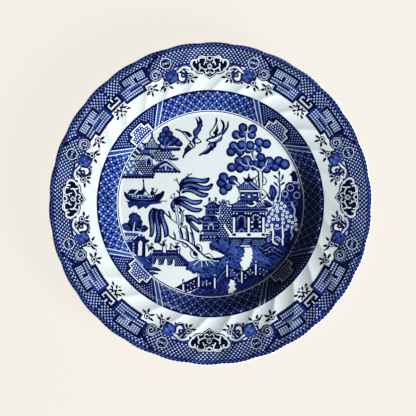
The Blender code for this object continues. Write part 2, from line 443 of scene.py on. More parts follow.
def split_long_edges(flat, values, triangles):
    """Halve long edges, off the flat well, until a film can follow the face."""
    while True:
        ends = np.concatenate([triangles[:, [0, 1]], triangles[:, [1, 2]], triangles[:, [2, 0]]])
        edges, index = np.unique(np.sort(ends, axis=1), axis=0, return_inverse=True)
        a, b = flat[edges[:, 0]], flat[edges[:, 1]]
        curved = np.maximum(np.hypot(*a.T), np.hypot(*b.T)) > WELL_FLAT_R
        long = curved & (np.hypot(*(b - a).T) > LONGEST_EDGE)
        if not long.any():
            return flat, values, triangles
        middle = np.full(len(edges), -1)
        middle[long] = len(flat) + np.arange(long.sum())
        flat = np.vstack([flat, (a[long] + b[long]) / 2])
        values = np.vstack([values, (values[edges[long, 0]] + values[edges[long, 1]]) / 2])
        halves = middle[index.reshape(-1)].reshape(3, -1).T
        count = (halves >= 0).sum(axis=1)
        new = [triangles[count == 0]]
        for turn in range(3):
            p, q, r = np.roll(triangles, -turn, axis=1).T
            pq, qr, rp = np.roll(halves, -turn, axis=1).T
            one = (count == 1) & (pq >= 0)
            two = (count == 2) & (rp < 0)
            for pick, corners in (
                (one, (p, pq, r)),
                (one, (pq, q, r)),
                (two, (pq, q, qr)),
                (two, (p, pq, qr)),
                (two, (p, qr, r)),
            ):
                new.append(np.column_stack(corners)[pick])
        p, q, r = triangles[count == 3].T
        pq, qr, rp = halves[count == 3].T
        new += [np.column_stack(t) for t in ((p, pq, rp), (pq, q, qr), (rp, qr, r), (pq, qr, rp))]
        triangles = np.vstack(new)


def curve(points, closed=False, steps=4):
    """More points on a smooth curve through these ones."""
    p = np.asarray(points, float)
    if closed:
        p = np.vstack([p[-1:], p, p[:2]])
    else:
        p = np.vstack([2 * p[0] - p[1], p, 2 * p[-1] - p[-2]])
    t = (np.arange(steps) / steps)[None, :, None]
    a, b, c, d = (p[i : len(p) - 3 + i][:, None, :] for i in range(4))
    bend = 2 * b + (c - a) * t + (2 * a - 5 * b + 4 * c - d) * t**2 + (3 * b - a - 3 * c + d) * t**3
    smooth = (bend / 2).reshape(-1, p.shape[1])
    return smooth if closed else np.vstack([smooth, p[-2:-1]])


def as_drawn(points):
    """The placing of a print that is drawn where it lies."""
    return np.asarray(points, float)


class Print:
    """A film of ink. Its shapes are drawn flat, as seen from above, and laid on the face.

    A shape at a higher level covers those below it. Each drawing call takes at, which places drawn
    points on the plate. Beyond LIP_START, distance from the middle counts along the rounded lip.
    """

    def __init__(self, at=as_drawn):
        self.at = at
        self.flat, self.values, self.triangles = [], [], []
        self.count = 0

    def add(self, points, triangles, ink, level, at=None):
        """Adds triangles to the film, turned to face up."""
        flat = (at or self.at)(np.asarray(points, float))
        triangles = np.array(triangles, int)
        a, b, c = (flat[triangles[:, i]] for i in range(3))
        ab, ac = b - a, c - a
        turned = ab[:, 0] * ac[:, 1] < ab[:, 1] * ac[:, 0]
        triangles[turned] = triangles[turned][:, ::-1]
        ink = np.broadcast_to(np.asarray(ink, float), len(flat))
        lift = np.full(len(flat), FILM_MM + LEVEL_MM * level)
        self.flat.append(flat)
        self.values.append(np.column_stack([ink, lift]))
        self.triangles.append(triangles + self.count)
        self.count += len(flat)

    def area(self, points, ink, level=0, at=None, smooth=False):
        """A filled outline."""
        if smooth:
            points = curve(points, closed=True)
        triangles = tessellate_polygon([[Vector((x, y, 0)) for x, y in points]])
        self.add(points, triangles, ink, level, at)

    def line(self, points, width, ink, level=0, at=None, smooth=True, closed=False):
        """A stroke through the points. Its width and ink may change from point to point."""
        n = len(points)
        width = np.broadcast_to(width, n) + INK_SPREAD
        track = np.column_stack([points, width, np.broadcast_to(ink, n)])
        if smooth and n > 2:
            track = curve(track, closed)
        if closed:
            track = np.vstack([track, track[:1]])
        steps = np.diff(track[:, :2], axis=0)
        steps /= np.maximum(np.hypot(*steps.T), 1e-9)[:, None]
        if closed:
            before, after = np.vstack([steps[-1:], steps]), np.vstack([steps, steps[:1]])
        else:
            before, after = np.vstack([steps[:1], steps]), np.vstack([steps, steps[-1:]])
        along = before + after
        along /= np.maximum(np.hypot(*along.T), 1e-9)[:, None]
        spread = 1 / np.maximum(MITRE_LIMIT, (along * after).sum(axis=1))
        side = np.column_stack([-along[:, 1], along[:, 0]]) * (track[:, 2] / 2 * spread)[:, None]
        m = len(track)
        points = [track[:, :2] + side, track[:, :2] - side]
        inks = [track[:, 3], track[:, 3]]
        i = np.arange(m - 1)
        triangles = [np.column_stack([i, i + 1, i + m + 1]), np.column_stack([i, i + m + 1, i + m])]
        if not closed:
            total = 2 * m
            for end, way in ((0, -1), (m - 1, 1)):
                half = track[end, 2] / 2
                u = along[end] * way
                v = np.array([-u[1], u[0]])
                turn = np.radians(CAP_DEGREES)[:, None]
                cap = track[end, :2] + half * (np.cos(turn) * u + np.sin(turn) * v)
                points.append(cap)
                corners = len(CAP_DEGREES)
                inks.append(np.full(corners, track[end, 3]))
                triangles.append([(total, total + k, total + k + 1) for k in range(1, corners - 1)])
                total += corners
        self.add(np.vstack(points), np.vstack(triangles), np.concatenate(inks), level, at)

    def lines(self, strokes, width, ink, level=0, at=None, smooth=True):
        """Several strokes of one width and ink."""
        for points in strokes:
            self.line(points, width, ink, level, at, smooth)

    def stamps(self, centres, outline, ink, level=0, at=None, middle_ink=None):
        """The same small filled outline at every centre."""
        centres = np.asarray(centres, float).reshape(-1, 2)
        outline = np.vstack([[0, 0], outline])
        n, k = len(centres), len(outline)
        points = (centres[:, None, :] + outline[None]).reshape(-1, 2)
        inks = np.full((n, k), ink, float)
        if middle_ink is not None:
            inks[:, 0] = middle_ink
        fan = np.array([(0, j, j % (k - 1) + 1) for j in range(1, k)])
        triangles = (fan[None] + k * np.arange(n)[:, None, None]).reshape(-1, 3)
        self.add(points, triangles, inks.ravel(), level, at)

    def dots(self, centres, radius, ink, level=0, at=None):
        """A round dot at every centre."""
        self.stamps(centres, round_outline(radius, radius), ink, level, at)

    def ring(self, centre, inner, outer, ink, level=0, at=None, start=0, end=360):
        """An annulus, or the piece of one between two angles."""
        n = max(6, int((end - start) / RING_STEP_DEG))
        a = np.radians(np.linspace(start, end, n + 1))
        unit = np.column_stack([np.cos(a), np.sin(a)])
        points = np.vstack([np.asarray(centre) + outer * unit, np.asarray(centre) + inner * unit])
        i = np.arange(n)
        tops = np.column_stack([i, i + 1, i + n + 2])
        feet = np.column_stack([i, i + n + 2, i + n + 1])
        self.add(points, np.vstack([tops, feet]), ink, level, at)

    def patch(self, x0, x1, y0, y1, ink, level=0, at=None, mm_per_x=1.0):
        """A rectangle in drawn coordinates, cut fine enough to follow the face."""
        nx = max(1, math.ceil(abs(x1 - x0) * mm_per_x / PATCH_STEP))
        ny = max(1, math.ceil(abs(y1 - y0) / PATCH_STEP))
        x, y = np.meshgrid(np.linspace(x0, x1, nx + 1), np.linspace(y0, y1, ny + 1))
        points = np.column_stack([x.ravel(), y.ravel()])
        i = (np.arange(ny)[:, None] * (nx + 1) + np.arange(nx)[None]).ravel()
        w = nx + 1
        triangles = np.vstack([np.column_stack([i, i + 1, i + w + 1]), np.column_stack([i, i + w + 1, i + w])])
        self.add(points, triangles, ink, level, at)

    def lay(self, name, slot, *nodes):
        """Makes the piece: every point goes to its place over the glazed face."""
        flat, values, triangles = np.vstack(self.flat), np.vstack(self.values), np.vstack(self.triangles)
        flat, values, triangles = split_long_edges(flat, values, triangles)
        s = np.maximum(np.hypot(*flat.T), 1e-3)
        degrees = np.degrees(np.arctan2(flat[:, 1], flat[:, 0]))
        normals = surface_normal(s, degrees)
        points = surface(s, degrees) + normals * values[:, 1:]
        piece = make_piece(name, points, triangles.tolist(), normals, PRINT, values[:, 0])
        if nodes:
            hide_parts(*nodes)


def round_outline(width, height, points=8, lean=0.0):
    """Corners of an ellipse of these half sizes, leaning clockwise by lean degrees."""
    a = np.arange(points) * 2 * math.pi / points
    x, y = width * np.cos(a), height * np.sin(a)
    c, s = math.cos(math.radians(lean)), math.sin(math.radians(lean))
    return np.column_stack([x * c + y * s, y * c - x * s])


def leaf_outline(length, width, lean=0.0):
    """Corners of a pointed leaf whose tip leans clockwise from straight up."""
    shape = [(0, 1), (0.6, 0.45), (1, -0.1), (0.75, -0.7), (0, -1), (-0.75, -0.7), (-1, -0.1), (-0.6, 0.45)]
    p = np.array(shape) * (width / 2, length / 2)
    c, s = math.cos(math.radians(lean)), math.sin(math.radians(lean))
    return np.column_stack([p[:, 0] * c + p[:, 1] * s, p[:, 1] * c - p[:, 0] * s])


def inside(points, outline):
    """Which of the points lie in the outline."""
    x, y = np.asarray(points, float).T
    found = np.zeros(len(x), bool)
    for (x0, y0), (x1, y1) in zip(outline, [*outline[1:], outline[0]]):
        if y0 == y1:
            continue
        crosses = (y0 > y) != (y1 > y)
        found ^= crosses & (x < x0 + (y - y0) / (y1 - y0) * (x1 - x0))
    return found


# ---------------------------------------------------------------- the rim's border

CARTOUCHES = (2.7, 90.3, 178.0, 269.5)  # where each cartouche's axis stands
PANELS = (46.8, 133.9, 222.7, 316.2)  # where each panel's axis stands, half way to the next
BORDER_MM_PER_DEG = 1.95
LATTICE_CELLS = 237


class Sector:
    """Half of one quarter of a border, drawn as degrees from the cartouche (0) to the panel (45)."""

    def __init__(self, start, end):
        self.start = start
        self.scale = (end - start) / 45

    def __call__(self, points):
        points = np.asarray(points, float)
        a = np.radians(self.start + self.scale * points[:, 0])
        return np.column_stack([points[:, 1] * np.cos(a), points[:, 1] * np.sin(a)])

    def around(self, degree, radius):
        """For a motif drawn in millimetres about a place: x towards the panel and y outwards."""

        def place(points):
            points = np.asarray(points, float)
            turn = np.degrees(points[:, 0] / radius) / abs(self.scale)
            return self(np.column_stack([degree + turn, radius + points[:, 1]]))

        return place

    def along(self, points):
        """For a motif drawn as millimetres from the cartouche's axis, and radius."""
        points = np.asarray(points, float)
        return self(np.column_stack([points[:, 0] / BORDER_MM_PER_DEG, points[:, 1]]))


def half_sectors(axes, panels):
    """The two halves on each side of every cartouche."""
    halves = []
    for i, axis in enumerate(axes):
        before = panels[i - 1] - (360 if i == 0 else 0)
        halves += [Sector(axis, panels[i]), Sector(axis, before)]
    return halves


HALVES = half_sectors(CARTOUCHES, PANELS)
# Where the border's ground starts, as from degree, to degree, radius.
GROUND_STARTS = (
    (0, 8.2, 108),
    (8.2, 15, 112.6),
    (15, 26.5, 108.2),
    (26.5, 29.8, 108.5),
    (29.8, 45, 104.3),
)
GROUND_END = 126.2


LATTICE_ROWS, LATTICE_OUTER_R, LATTICE_ROW_MM = 11, 125.0, 1.66


def under_motif(degree, radius):
    """Whether a bead of the ground would lie under a fret or a cartouche."""
    under_fret = degree > 26.2 and radius < (122.6 if degree < 38.4 else 116.4)
    under_cartouche = degree < 5.0 and radius < 118.0
    return under_fret or under_cartouche


def border_ground(film, sector):
    """The dark ground with its diaper: rows of light and dark beads, each row half a bead along."""
    for start, end, radius in GROUND_STARTS:
        film.patch(start, end, radius, GROUND_END, 0.79, 0, sector, BORDER_MM_PER_DEG)
    pitch = 45 / round(LATTICE_CELLS / 8)
    lights, darks = [], []
    for row in range(LATTICE_ROWS):
        radius = LATTICE_OUTER_R - LATTICE_ROW_MM * row
        for i in range(round(45 / pitch) + 1):
            for shift, kept in ((0.0, lights), (0.5, darks)):
                a = (i + shift + (row % 2) / 2) * pitch
                edge = next((r for start, end, r in GROUND_STARTS if start <= a < end), None)
                if edge is not None and radius >= edge + 0.8 and not under_motif(a, radius):
                    kept.append((a, radius))
    half = 1 / BORDER_MM_PER_DEG
    film.stamps(lights, round_outline(0.76 * half, 0.58), 0.22, 1, sector, middle_ink=0.03)
    film.stamps(darks, round_outline(0.54 * half, 0.5, 6), 0.97, 1, sector)


FRET_DOT_PITCH = 1.9


def fret(film, sector):
    """The angular meander beside each panel, with its dotted filling."""
    fills = ((26.7, 37.6, 113.4, 121.5), (26.7, 31.5, 108.8, 113.6), (30.3, 40.4, 105.0, 115.2))
    for a0, a1, r0, r1 in fills:
        film.patch(a0, a1, r0, r1, 0.7, 2, sector, BORDER_MM_PER_DEG)
    dots = []
    for a0, a1, r0, r1 in ((27.9, 36.9, 115.4, 120.4), (27.5, 31.2, 110.2, 112.9), (31.5, 39.6, 106.9, 113.4)):
        rows = max(1, round((r1 - r0) / FRET_DOT_PITCH))
        columns = round((a1 - a0) * BORDER_MM_PER_DEG / FRET_DOT_PITCH)
        for i in range(rows + 1):
            for j in range(columns + 1):
                dots.append((a0 + (a1 - a0) * j / columns, r0 + (r1 - r0) * i / rows))
    film.stamps(
        dots, [(-0.31, -0.6), (0.31, -0.6), (0.31, 0.6), (-0.31, 0.6)], 0.16, 3, sector, middle_ink=0.06,
    )
    bars = (
        (26.6, 38.3, 120.6, 122.7, 0.98),
        (37.1, 38.3, 115.6, 122.7, 0.98),
        (26.6, 27.7, 113.2, 122.7, 0.98),
        (26.6, 31.9, 113.2, 114.7, 0.98),
        (31.3, 32.4, 113.4, 117.7, 0.98),
        (26.6, 30.8, 107.9, 109.3, 0.95),
        (26.6, 27.2, 108.1, 113.6, 0.9),
        (29.7, 30.8, 104.1, 108.6, 0.97),
        (29.7, 40.9, 104.0, 105.9, 0.9),
        (40.0, 40.9, 104.1, 115.8, 0.7),
        (34.3, 40.9, 114.3, 115.8, 0.7),
        (30.8, 36.5, 109.8, 111.6, 0.82),
    )
    for a0, a1, r0, r1, ink in bars:
        film.patch(a0, a1, r0, r1, ink, 4, sector, BORDER_MM_PER_DEG)
    lights = (
        (26.3, 38.3, 122.7, 123.0, 0.35),
        (38.3, 38.55, 115.8, 122.7, 0.35),
        (33.0, 37.0, 113.7, 114.2, 0.15),
        (29.4, 29.7, 104.2, 108.0, 0.05),
    )
    for a0, a1, r0, r1, ink in lights:
        film.patch(a0, a1, r0, r1, ink, 5, sector, BORDER_MM_PER_DEG)
    film.line([(26.5, 118.0), (20.6, 126.1)], 1.2, 0.97, 4, sector)


def panel(film, sector):
    """Half of the dark block between two frets, and of the sprig below it."""
    film.patch(41.1, 45, 107.5, 116.2, 0.98, 2, sector, BORDER_MM_PER_DEG)
    for a0, a1, r0, r1 in (
        (42.15, 42.65, 109.4, 114.0),
        (42.15, 45, 109.4, 110.8),
        (42.15, 43.6, 113.2, 114.0),
        (44.72, 45, 113, 116),
    ):
        film.patch(a0, a1, r0, r1, 0.05, 3, sector, BORDER_MM_PER_DEG)
    film.area([(41.2, 103.6), (41.2, 107.5), (45, 107.5), (45, 103.2)], 0.0, 1, sector)
    at = sector.around(45, 105)
    film.line([(-4.4, 1.4), (-2.6, -0.2), (-1.7, 0.9), (0, -2.3)], 1.15, 0.97, 2, at)
    film.stamps([(-4.2, -1.3)], leaf_outline(3.9, 1.7, 78), 1.0, 2, at)
    film.stamps([(-5.9, -3.8)], leaf_outline(4.2, 1.8, 70), 1.0, 2, at)
    film.stamps([(-2.0, -4.2)], leaf_outline(3.7, 1.7, 42), 1.0, 2, at)
    film.stamps([(-1.6, 1.6)], round_outline(0.6, 0.4), 0.6, 2, at)
    film.stamps([(0, -5.9)], round_outline(0.5, 1.0), 0.9, 2, at)


CARTOUCHE_SIDE = (
    (0, 99.8), (1.8, 101.5), (4.6, 102.9), (6.0, 104.3), (8.3, 104.3), (11.1, 105.1), (13.0, 106.8),
    (13.6, 108.6), (16.2, 110.8), (17.0, 113.3), (16.3, 116.0), (14.0, 117.6), (11.2, 117.4), (9.8, 118.2),
    (8.8, 119.6), (6.6, 120.3), (4.2, 119.5), (1.8, 119.2), (0, 119.6),
)


def inset(outline, by, hub=(6.5, 111.0)):
    """The outline drawn in towards its middle, but not away from its axis."""
    moved = []
    for x, y in outline:
        dx, dy = x - hub[0], y - hub[1]
        far = math.hypot(dx, dy)
        moved.append((0 if x == 0 else x - by * dx / far, y - by * dy / far))
    return moved


def cartouche(film, sector):
    """Half of a lobed black cartouche with a white rim and white scrolls."""
    at = sector.along
    film.area(CARTOUCHE_SIDE, 0.97, 2, at)
    film.area(inset(CARTOUCHE_SIDE, 0.9), 0.03, 3, at)
    film.area(inset(CARTOUCHE_SIDE, 1.85), 1.0, 4, at)
    white = 0.0
    film.line([
        (10.9, 114.0), (10.8, 115.4), (12.5, 116.2), (14.1, 115.3), (14.9, 113.1), (14.3, 110.6), (12.8, 108.0),
    ], 0.95, white, 5, at)
    film.line([
        (8.7, 114.8), (8.8, 116.4), (7.3, 117.3), (4.3, 117.3), (3.1, 116.2), (3.5, 114.8),
    ], 0.75, white, 5, at)
    film.line([(1.9, 117.3), (1.5, 115.9), (0, 115.3)], 0.75, white, 5, at)
    film.line([(8.1, 112.7), (8.4, 110.6), (7.4, 109.8), (8.4, 108.9), (9.1, 107.2)], 0.8, white, 5, at)
    film.line([(7.4, 109.8), (4.3, 108.0), (2.6, 108.3)], 0.7, white, 5, at)
    film.line([(4.8, 111.9), (3.9, 113.7), (2.4, 113.5)], 0.7, white, 5, at)
    film.line([(3.9, 106.8), (3.5, 105.4), (1.9, 104.9), (0.7, 106)], 0.65, white, 5, at)
    film.line([(0, 104.2), (0, 101.8)], 0.6, 0.25, 5, at)
    petals = [
        (1.6 * math.cos(math.radians(t)), 110.5 + 1.6 * math.sin(math.radians(t)))
        for t in (-72, -24, 24, 72)
    ]
    film.dots(petals, 0.52, white, 5, at)
    film.dots([(0, 113.9), (0, 107.5), (1.2, 108.6)], 0.42, white, 5, at)
    film.dots([(0, 110.5)], 0.75, 0.35, 5, at)


def blossom(film, sector, degree, radius, petals, ring_ink=0.84):
    """A round flower head on a white disc, with loose pointed petals about it."""
    at = sector.around(degree, radius)
    film.dots([(0, 0)], 2.8, 0.0, 1, at)
    film.ring((0, 0), 1.85, 2.6, ring_ink, 2, at)
    film.dots([(0, 0)], 1.15, 1.0, 2, at)
    ticks = [(1.5 * math.cos(math.radians(t)), 1.5 * math.sin(math.radians(t))) for t in range(20, 380, 72)]
    film.dots(ticks, 0.3, 0.7, 3, at)
    for x, y, lean in petals:
        film.stamps([(x, y)], leaf_outline(4.3, 2.05, lean), 1.0, 2, at)


def flowers(film, sector):
    """The three flowers of half a sector, and the curled bud between the first two."""
    blossom(
        film, sector, 8.9, 104,
        [(2.3, -4.2, 165), (-1.2, -4.6, 222), (-4.4, -1.9, 265), (2.7, 3.4, 30), (4.8, 0.4, 85)],
    )
    blossom(
        film, sector, 20.5, 102.7,
        [(4.0, -1.9, 105), (3.0, -4.4, 140), (-3.2, -4.4, 220), (-4.2, -1.0, 268), (0.2, 4.0, 5)],
    )
    blossom(
        film, sector, 27.8, 103.7, [(3.9, -2.3, 110), (1.1, -4.6, 165), (-3.6, -2.9, 235), (-4.4, 0.8, 280)],
        0.8,
    )
    leaves = sector.around(8.9, 104)
    film.stamps([(4.0, 5.6)], leaf_outline(3.4, 1.8, 40), 0.95, 2, leaves)
    film.stamps([(6.6, 4.4)], leaf_outline(3.4, 1.8, 70), 0.95, 2, leaves)
    comma = sector.around(12.4, 103.5)
    film.line(
        [
            (3.5, 1.9), (3.9, -1), (2.3, -2.9), (0, -3.3), (-2.1, -1.9), (-2.9, 0.6), (-2.1, 2.7), (-0.3, 3.1),
            (0.8, 1.9), (0.3, 0.6),
        ],
        [0.9, 1.3, 1.5, 1.6, 1.8, 1.9, 1.6, 1.3, 1.2, 1.2],
        [0.97, 0.95, 0.9, 0.86, 0.8, 0.78, 0.82, 0.9, 0.95, 0.97], 2, comma,
    )
    film.stamps([(3.9, 2.9)], leaf_outline(3.4, 2.0, 10), 1.0, 3, comma)
    film.line([(4.6, 1.2), (5.0, -1.6), (3.2, -4.2), (0.4, -4.8), (-2.6, -3.6)], 0.4, 0.6, 2, comma)
    film.line([
        (-3.6, 3.6), (-2.6, 4.4), (-1.6, 3.8), (-0.4, 4.6), (0.6, 3.9), (1.6, 4.6),
    ], 0.35, 0.8, 2, comma, smooth=False)
    film.dots([(5.3, -3.1)], 1.0, 1.0, 2, comma)
    film.lines([[(12.6, 101.0), (11.5, 99.0)], [(22.6, 100.4), (24.4, 98.9)]], 0.5, 0.9, 2, sector)
    crescent(film, sector)


def crescent(film, sector):
    """The mottled disc, the ringed coin, the spiral and the ribbons behind the flowers."""
    disc = sector.around(17.0, 106.5)
    film.stamps([(0, 0)], round_outline(5.3, 5.3, 22), 0.66, 2, disc, middle_ink=0.54)
    film.stamps(
        [(-1.2, -1.6), (1.6, 0.8), (0.8, -3.0)], round_outline(2.0, 1.3, 10, 30), 0.56, 2.5, disc,
        middle_ink=0.36,
    )
    film.stamps([(-1.8, 1.6), (2.4, -1.8)], round_outline(1.7, 1.0, 10, 30), 0.68, 2.5, disc, middle_ink=0.88)
    film.ring((0, 0), 3.4, 3.8, 0.42, 3, disc, 120, 230)
    film.ring((0, 0), 4.7, 5.4, 0.86, 3, disc, 170, 380)
    coin = sector.around(18.0, 118.1)
    film.stamps([(0, 0)], round_outline(5.0, 5.0, 22), 0.97, 2, coin)
    film.ring((0, 0), 3.95, 4.5, 0.03, 3, coin)
    film.area([(-3.2, 0), (-2.0, 1.5), (-0.9, 0), (-2.0, -1.5)], 0.35, 3, coin, smooth=True)
    film.area([(3.2, 0), (2.0, 1.5), (0.9, 0), (2.0, -1.5)], 0.35, 3, coin, smooth=True)
    film.dots([(0, 0)], 0.7, 0.02, 4, coin)
    film.dots([(0, 2.6), (0, -2.6)], 0.45, 0.4, 3, coin)
    spiral = sector.around(23.6, 112.1)
    film.stamps([(0, 0)], round_outline(5.3, 5.3, 22), 0.95, 2, spiral)
    film.stamps([(0, 0)], round_outline(4.5, 4.5, 20), 0.02, 3, spiral)
    film.stamps([(0, 0)], round_outline(3.8, 3.8, 20), 0.84, 4, spiral)
    film.line([
        (-2.9, 0.4), (-1.9, 2.4), (0.4, 2.8), (2.2, 1.5), (2.3, -0.8), (0.8, -2.0), (-0.8, -1.3), (-0.9, 0.2),
        (0.3, 0.6),
    ], [0.4, 0.55, 0.6, 0.6, 0.6, 0.55, 0.5, 0.4, 0.4], 0.1, 5, spiral)
    film.ring((0, 0), 4.05, 4.3, 0.7, 5, spiral)
    film.dots([(-2.4, -2.2), (3.0, -2.3), (-0.6, -3.1)], 0.4, 0.1, 5, spiral)
    waves = (
        ([(15.8, 109.6), (14.3, 110.6), (12.0, 112.9), (10.2, 112.9), (8.5, 111.3)], 1.1, 0.7),
        ([(15.0, 108.3), (13.6, 109.4), (12.0, 111.5), (10.3, 111.5), (8.9, 109.7)], 0.9, 0.0),
        ([(14.4, 107.6), (13.0, 108.6), (11.8, 110.2), (10.6, 110.2), (9.4, 108.6)], 0.7, 0.75),
    )
    for line, width, ink in waves:
        mm = [(a * BORDER_MM_PER_DEG, r) for a, r in line]
        film.line(mm, width, ink, 2, sector.along)


def rim_edge():
    """The rim's outer edge: a dotted dark line, a blue band and a row of dark dashes on the lip."""
    film = Print(at=Sector(0, 45))
    film.patch(0, 360, GROUND_END - 0.2, 127.2, 0.93, 0, None, 2.2)
    film.patch(0, 360, 127.0, 129.3, 0.72, 0, None, 2.2)
    pitch = 360 / LATTICE_CELLS
    turns = np.arange(LATTICE_CELLS) * pitch
    beads = np.column_stack([turns, np.full(LATTICE_CELLS, 126.45)])
    film.stamps(beads, round_outline(0.28, 0.34, 6), 0.24, 1)
    ticks = np.column_stack([turns + pitch / 2, np.full(LATTICE_CELLS, 127.85)])
    film.stamps(ticks, round_outline(0.24, 0.34, 6), 0.3, 1)
    dashes = np.column_stack([turns, np.full(LATTICE_CELLS, 129.1)])
    film.stamps(dashes, round_outline(0.42, 0.6, 8), 0.93, 2)
    return film


def rim_border():
    """The wide border on the rim, a piece to each kind of motif."""
    ground, frets, cartouches, sprigs = Print(), Print(), Print(), Print()
    for sector in HALVES:
        border_ground(ground, sector)
        fret(frets, sector)
        panel(frets, sector)
        cartouche(cartouches, sector)
        flowers(sprigs, sector)
    ground.lay("print_rim_lattice", "cobalt_print", "rim_border_print")
    frets.lay("print_rim_frets", "cobalt_print")
    cartouches.lay("print_rim_cartouches", "cobalt_print")
    sprigs.lay("print_rim_flowers", "cobalt_print")
    rim_edge().lay("print_rim_edge", "cobalt_edge", "edge_line_print")


rim_border()


# ---------------------------------------------------------------- the inner border

BAND_PANELS = (47.7, 134.9, 223.6, 317.0)
BAND_MM_PER_DEG = 1.43
BAND_SIZE = 1.006  # a little larger than the rim's drawing scale
BAND_IN, BAND_OUT = 75.4, 90.4


class BandSector(Sector):
    """Half of a quarter of the inner border, drawn as degrees from its panel's axis (0) to 45."""

    def __call__(self, points):
        return super().__call__(points) * BAND_SIZE


def band_halves():
    """The two halves on each side of every panel."""
    halves = []
    for i, axis in enumerate(BAND_PANELS):
        after = BAND_PANELS[(i + 1) % 4] + (360 if i == 3 else 0)
        before = BAND_PANELS[i - 1] - (360 if i == 0 else 0)
        halves += [BandSector(axis, (axis + after) / 2), BandSector(axis, (axis + before) / 2)]
    return halves


RIBBON_FOOT, RIBBON_TOP = 9.7, 17.5  # degrees of the ribbon's inner edge at the band's two edges
RIBBON_FOOT_R, RIBBON_TOP_R = 77, 90
RIBBON_WIDE = 2.9


def ribbon_edge(radius, shift=0.0):
    """The degree at which the ribbon's edge crosses a radius."""
    lean = (RIBBON_TOP - RIBBON_FOOT) * (radius - RIBBON_FOOT_R) / (RIBBON_TOP_R - RIBBON_FOOT_R)
    return RIBBON_FOOT + shift + lean


def band_diaper(film, sector):
    """Diamonds and leaning petals between two ribbons, in a running net."""
    diamonds, rights, lefts = [], [], []
    for row, radius in enumerate((89.3, 86.2, 82.6, 79.2, 76.6)):
        for i in range(-1, 12):
            a = (i + 0.5 * (row % 2)) * 5.0
            if ribbon_edge(radius, RIBBON_WIDE + 1.0) < a <= 45.2:
                diamonds.append((a, radius))
    for row, radius in enumerate((87.8, 84.4, 80.9, 77.8)):
        for i in range(20):
            a = (i + 0.5) * 2.5
            if ribbon_edge(radius, RIBBON_WIDE + 0.7) < a <= 45:
                (rights if (i + row) % 2 else lefts).append((a, radius))
    half = 1 / BAND_MM_PER_DEG
    film.stamps(diamonds, leaf_outline(2.0, 1.8) * (half, 1), 0.34, 1, sector, middle_ink=0.05)
    for centres, lean in ((rights, -38), (lefts, 38)):
        film.stamps(centres, round_outline(1.05, 1.5, 8, lean) * (half, 1), 0.56, 1, sector, middle_ink=0.34)


def band_panel(film, sector):
    """Half of a panel: dotted ground between the ribbons, and the stepped lozenge at its middle."""
    dots = []
    for row in range(9):
        radius = 88.9 - 1.5 * row
        for i in range(13):
            a = (i + 0.5 * (row % 2)) * 1.62
            clear = -1 if radius > 87.0 else 5.8 if radius > 83.0 else 8.8
            if clear < a < ribbon_edge(radius) - 0.7:
                dots.append((a, radius))
    film.stamps(dots, round_outline(0.33, 0.54, 6), 0.3, 1, sector, middle_ink=0.16)
    step = [(0, 75.5), (8.2, 75.5), (8.2, 82.8), (5.2, 82.8), (5.2, 86.6), (0, 86.6)]
    film.area(step, 1.0, 1, sector)
    inner = [(0, 75.3), (6.9, 75.3), (6.9, 81.4), (4.0, 81.4), (4.0, 85.0), (0, 85.0)]
    film.area(inner, 0.72, 2, sector)
    film.line(
        [(6.9, 75.4), (6.9, 81.4), (4.0, 81.4), (4.0, 85.0), (0, 85.0)], 0.62, 0.02, 3, sector, smooth=False,
    )
    grid = []
    for row, radius in enumerate((83.3, 81.4, 79.6, 77.7)):
        for i in range(6):
            a = (i + 0.5 * (row % 2)) * 1.54
            if a < (3.2 if radius > 81.5 else 6.2):
                grid.append((a, radius))
    film.stamps(grid, round_outline(0.42, 0.6, 6), 0.05, 3, sector)


def band_ribbon(film, sector, ink):
    """The plain ribbon that slants across the band beside a panel."""
    low, high = BAND_IN, BAND_OUT
    edges = [
        (ribbon_edge(low), low), (ribbon_edge(low, RIBBON_WIDE), low), (ribbon_edge(high, RIBBON_WIDE), high),
        (ribbon_edge(high), high),
    ]
    film.area(edges, ink, 2, sector)
    for shift in (0.0, RIBBON_WIDE):
        film.line([(ribbon_edge(low, shift), low), (ribbon_edge(high, shift), high)], 0.42, 0.12, 3, sector)


def inner_band():
    """The band on the wall, and the two thin rings where it meets the well."""
    ground, diaper, panels, rings = Print(), Print(), Print(), Print()
    whole = BandSector(0, 45)
    ground.patch(0, 360, BAND_IN, BAND_OUT, 0.88, 0, whole, 1.5)
    ground.patch(0, 360, 89.9, 91.0, 0.97, 1, whole, 1.6)
    for sector in band_halves():
        band_diaper(diaper, sector)
        band_panel(panels, sector)
        band_ribbon(panels, sector, 0.62)
    rings.patch(0, 360, 74.95, 75.5, 0.0, 5, whole, 1.4)
    rings.patch(0, 360, 74.1, 74.95, 0.66, 6, whole, 1.4)
    ground.lay("print_band_ground", "cobalt_print", "inner_border_print")
    diaper.lay("print_band_diaper", "cobalt_print")
    panels.lay("print_band_panels", "cobalt_print")
    rings.lay("print_band_rings", "cobalt_print")


inner_band()


# ---------------------------------------------------------------- the scene in the well

WELL_SCALE = 1.009  # the well lies a little further from the eye than the rim
WHITE_INK = 0.02


def in_well(points):
    """Places the scene's drawing on the well."""
    return np.asarray(points, float) * WELL_SCALE


def staggered(outline, dx, dy, margin=0.0):
    """Points of a staggered net that lie in the outline."""
    x0, y0 = np.min(outline, axis=0) + margin
    x1, y1 = np.max(outline, axis=0) - margin
    found = []
    for row in range(int((y1 - y0) / dy) + 1):
        for column in range(int((x1 - x0) / dx) + 2):
            found.append((x0 + (column + 0.5 * (row % 2)) * dx, y0 + row * dy))
    found = np.array(found)
    return found[inside(found, outline)]


def scallops(film, x0, x1, y, pitch, ink, level):
    """A row of round bumps hanging from a line."""
    count = round(abs(x1 - x0) / pitch)
    xs = x0 + (x1 - x0) * (np.arange(count) + 0.5) / count
    film.stamps(np.column_stack([xs, np.full(count, y)]), round_outline(pitch * 0.5, 0.75), ink, level)


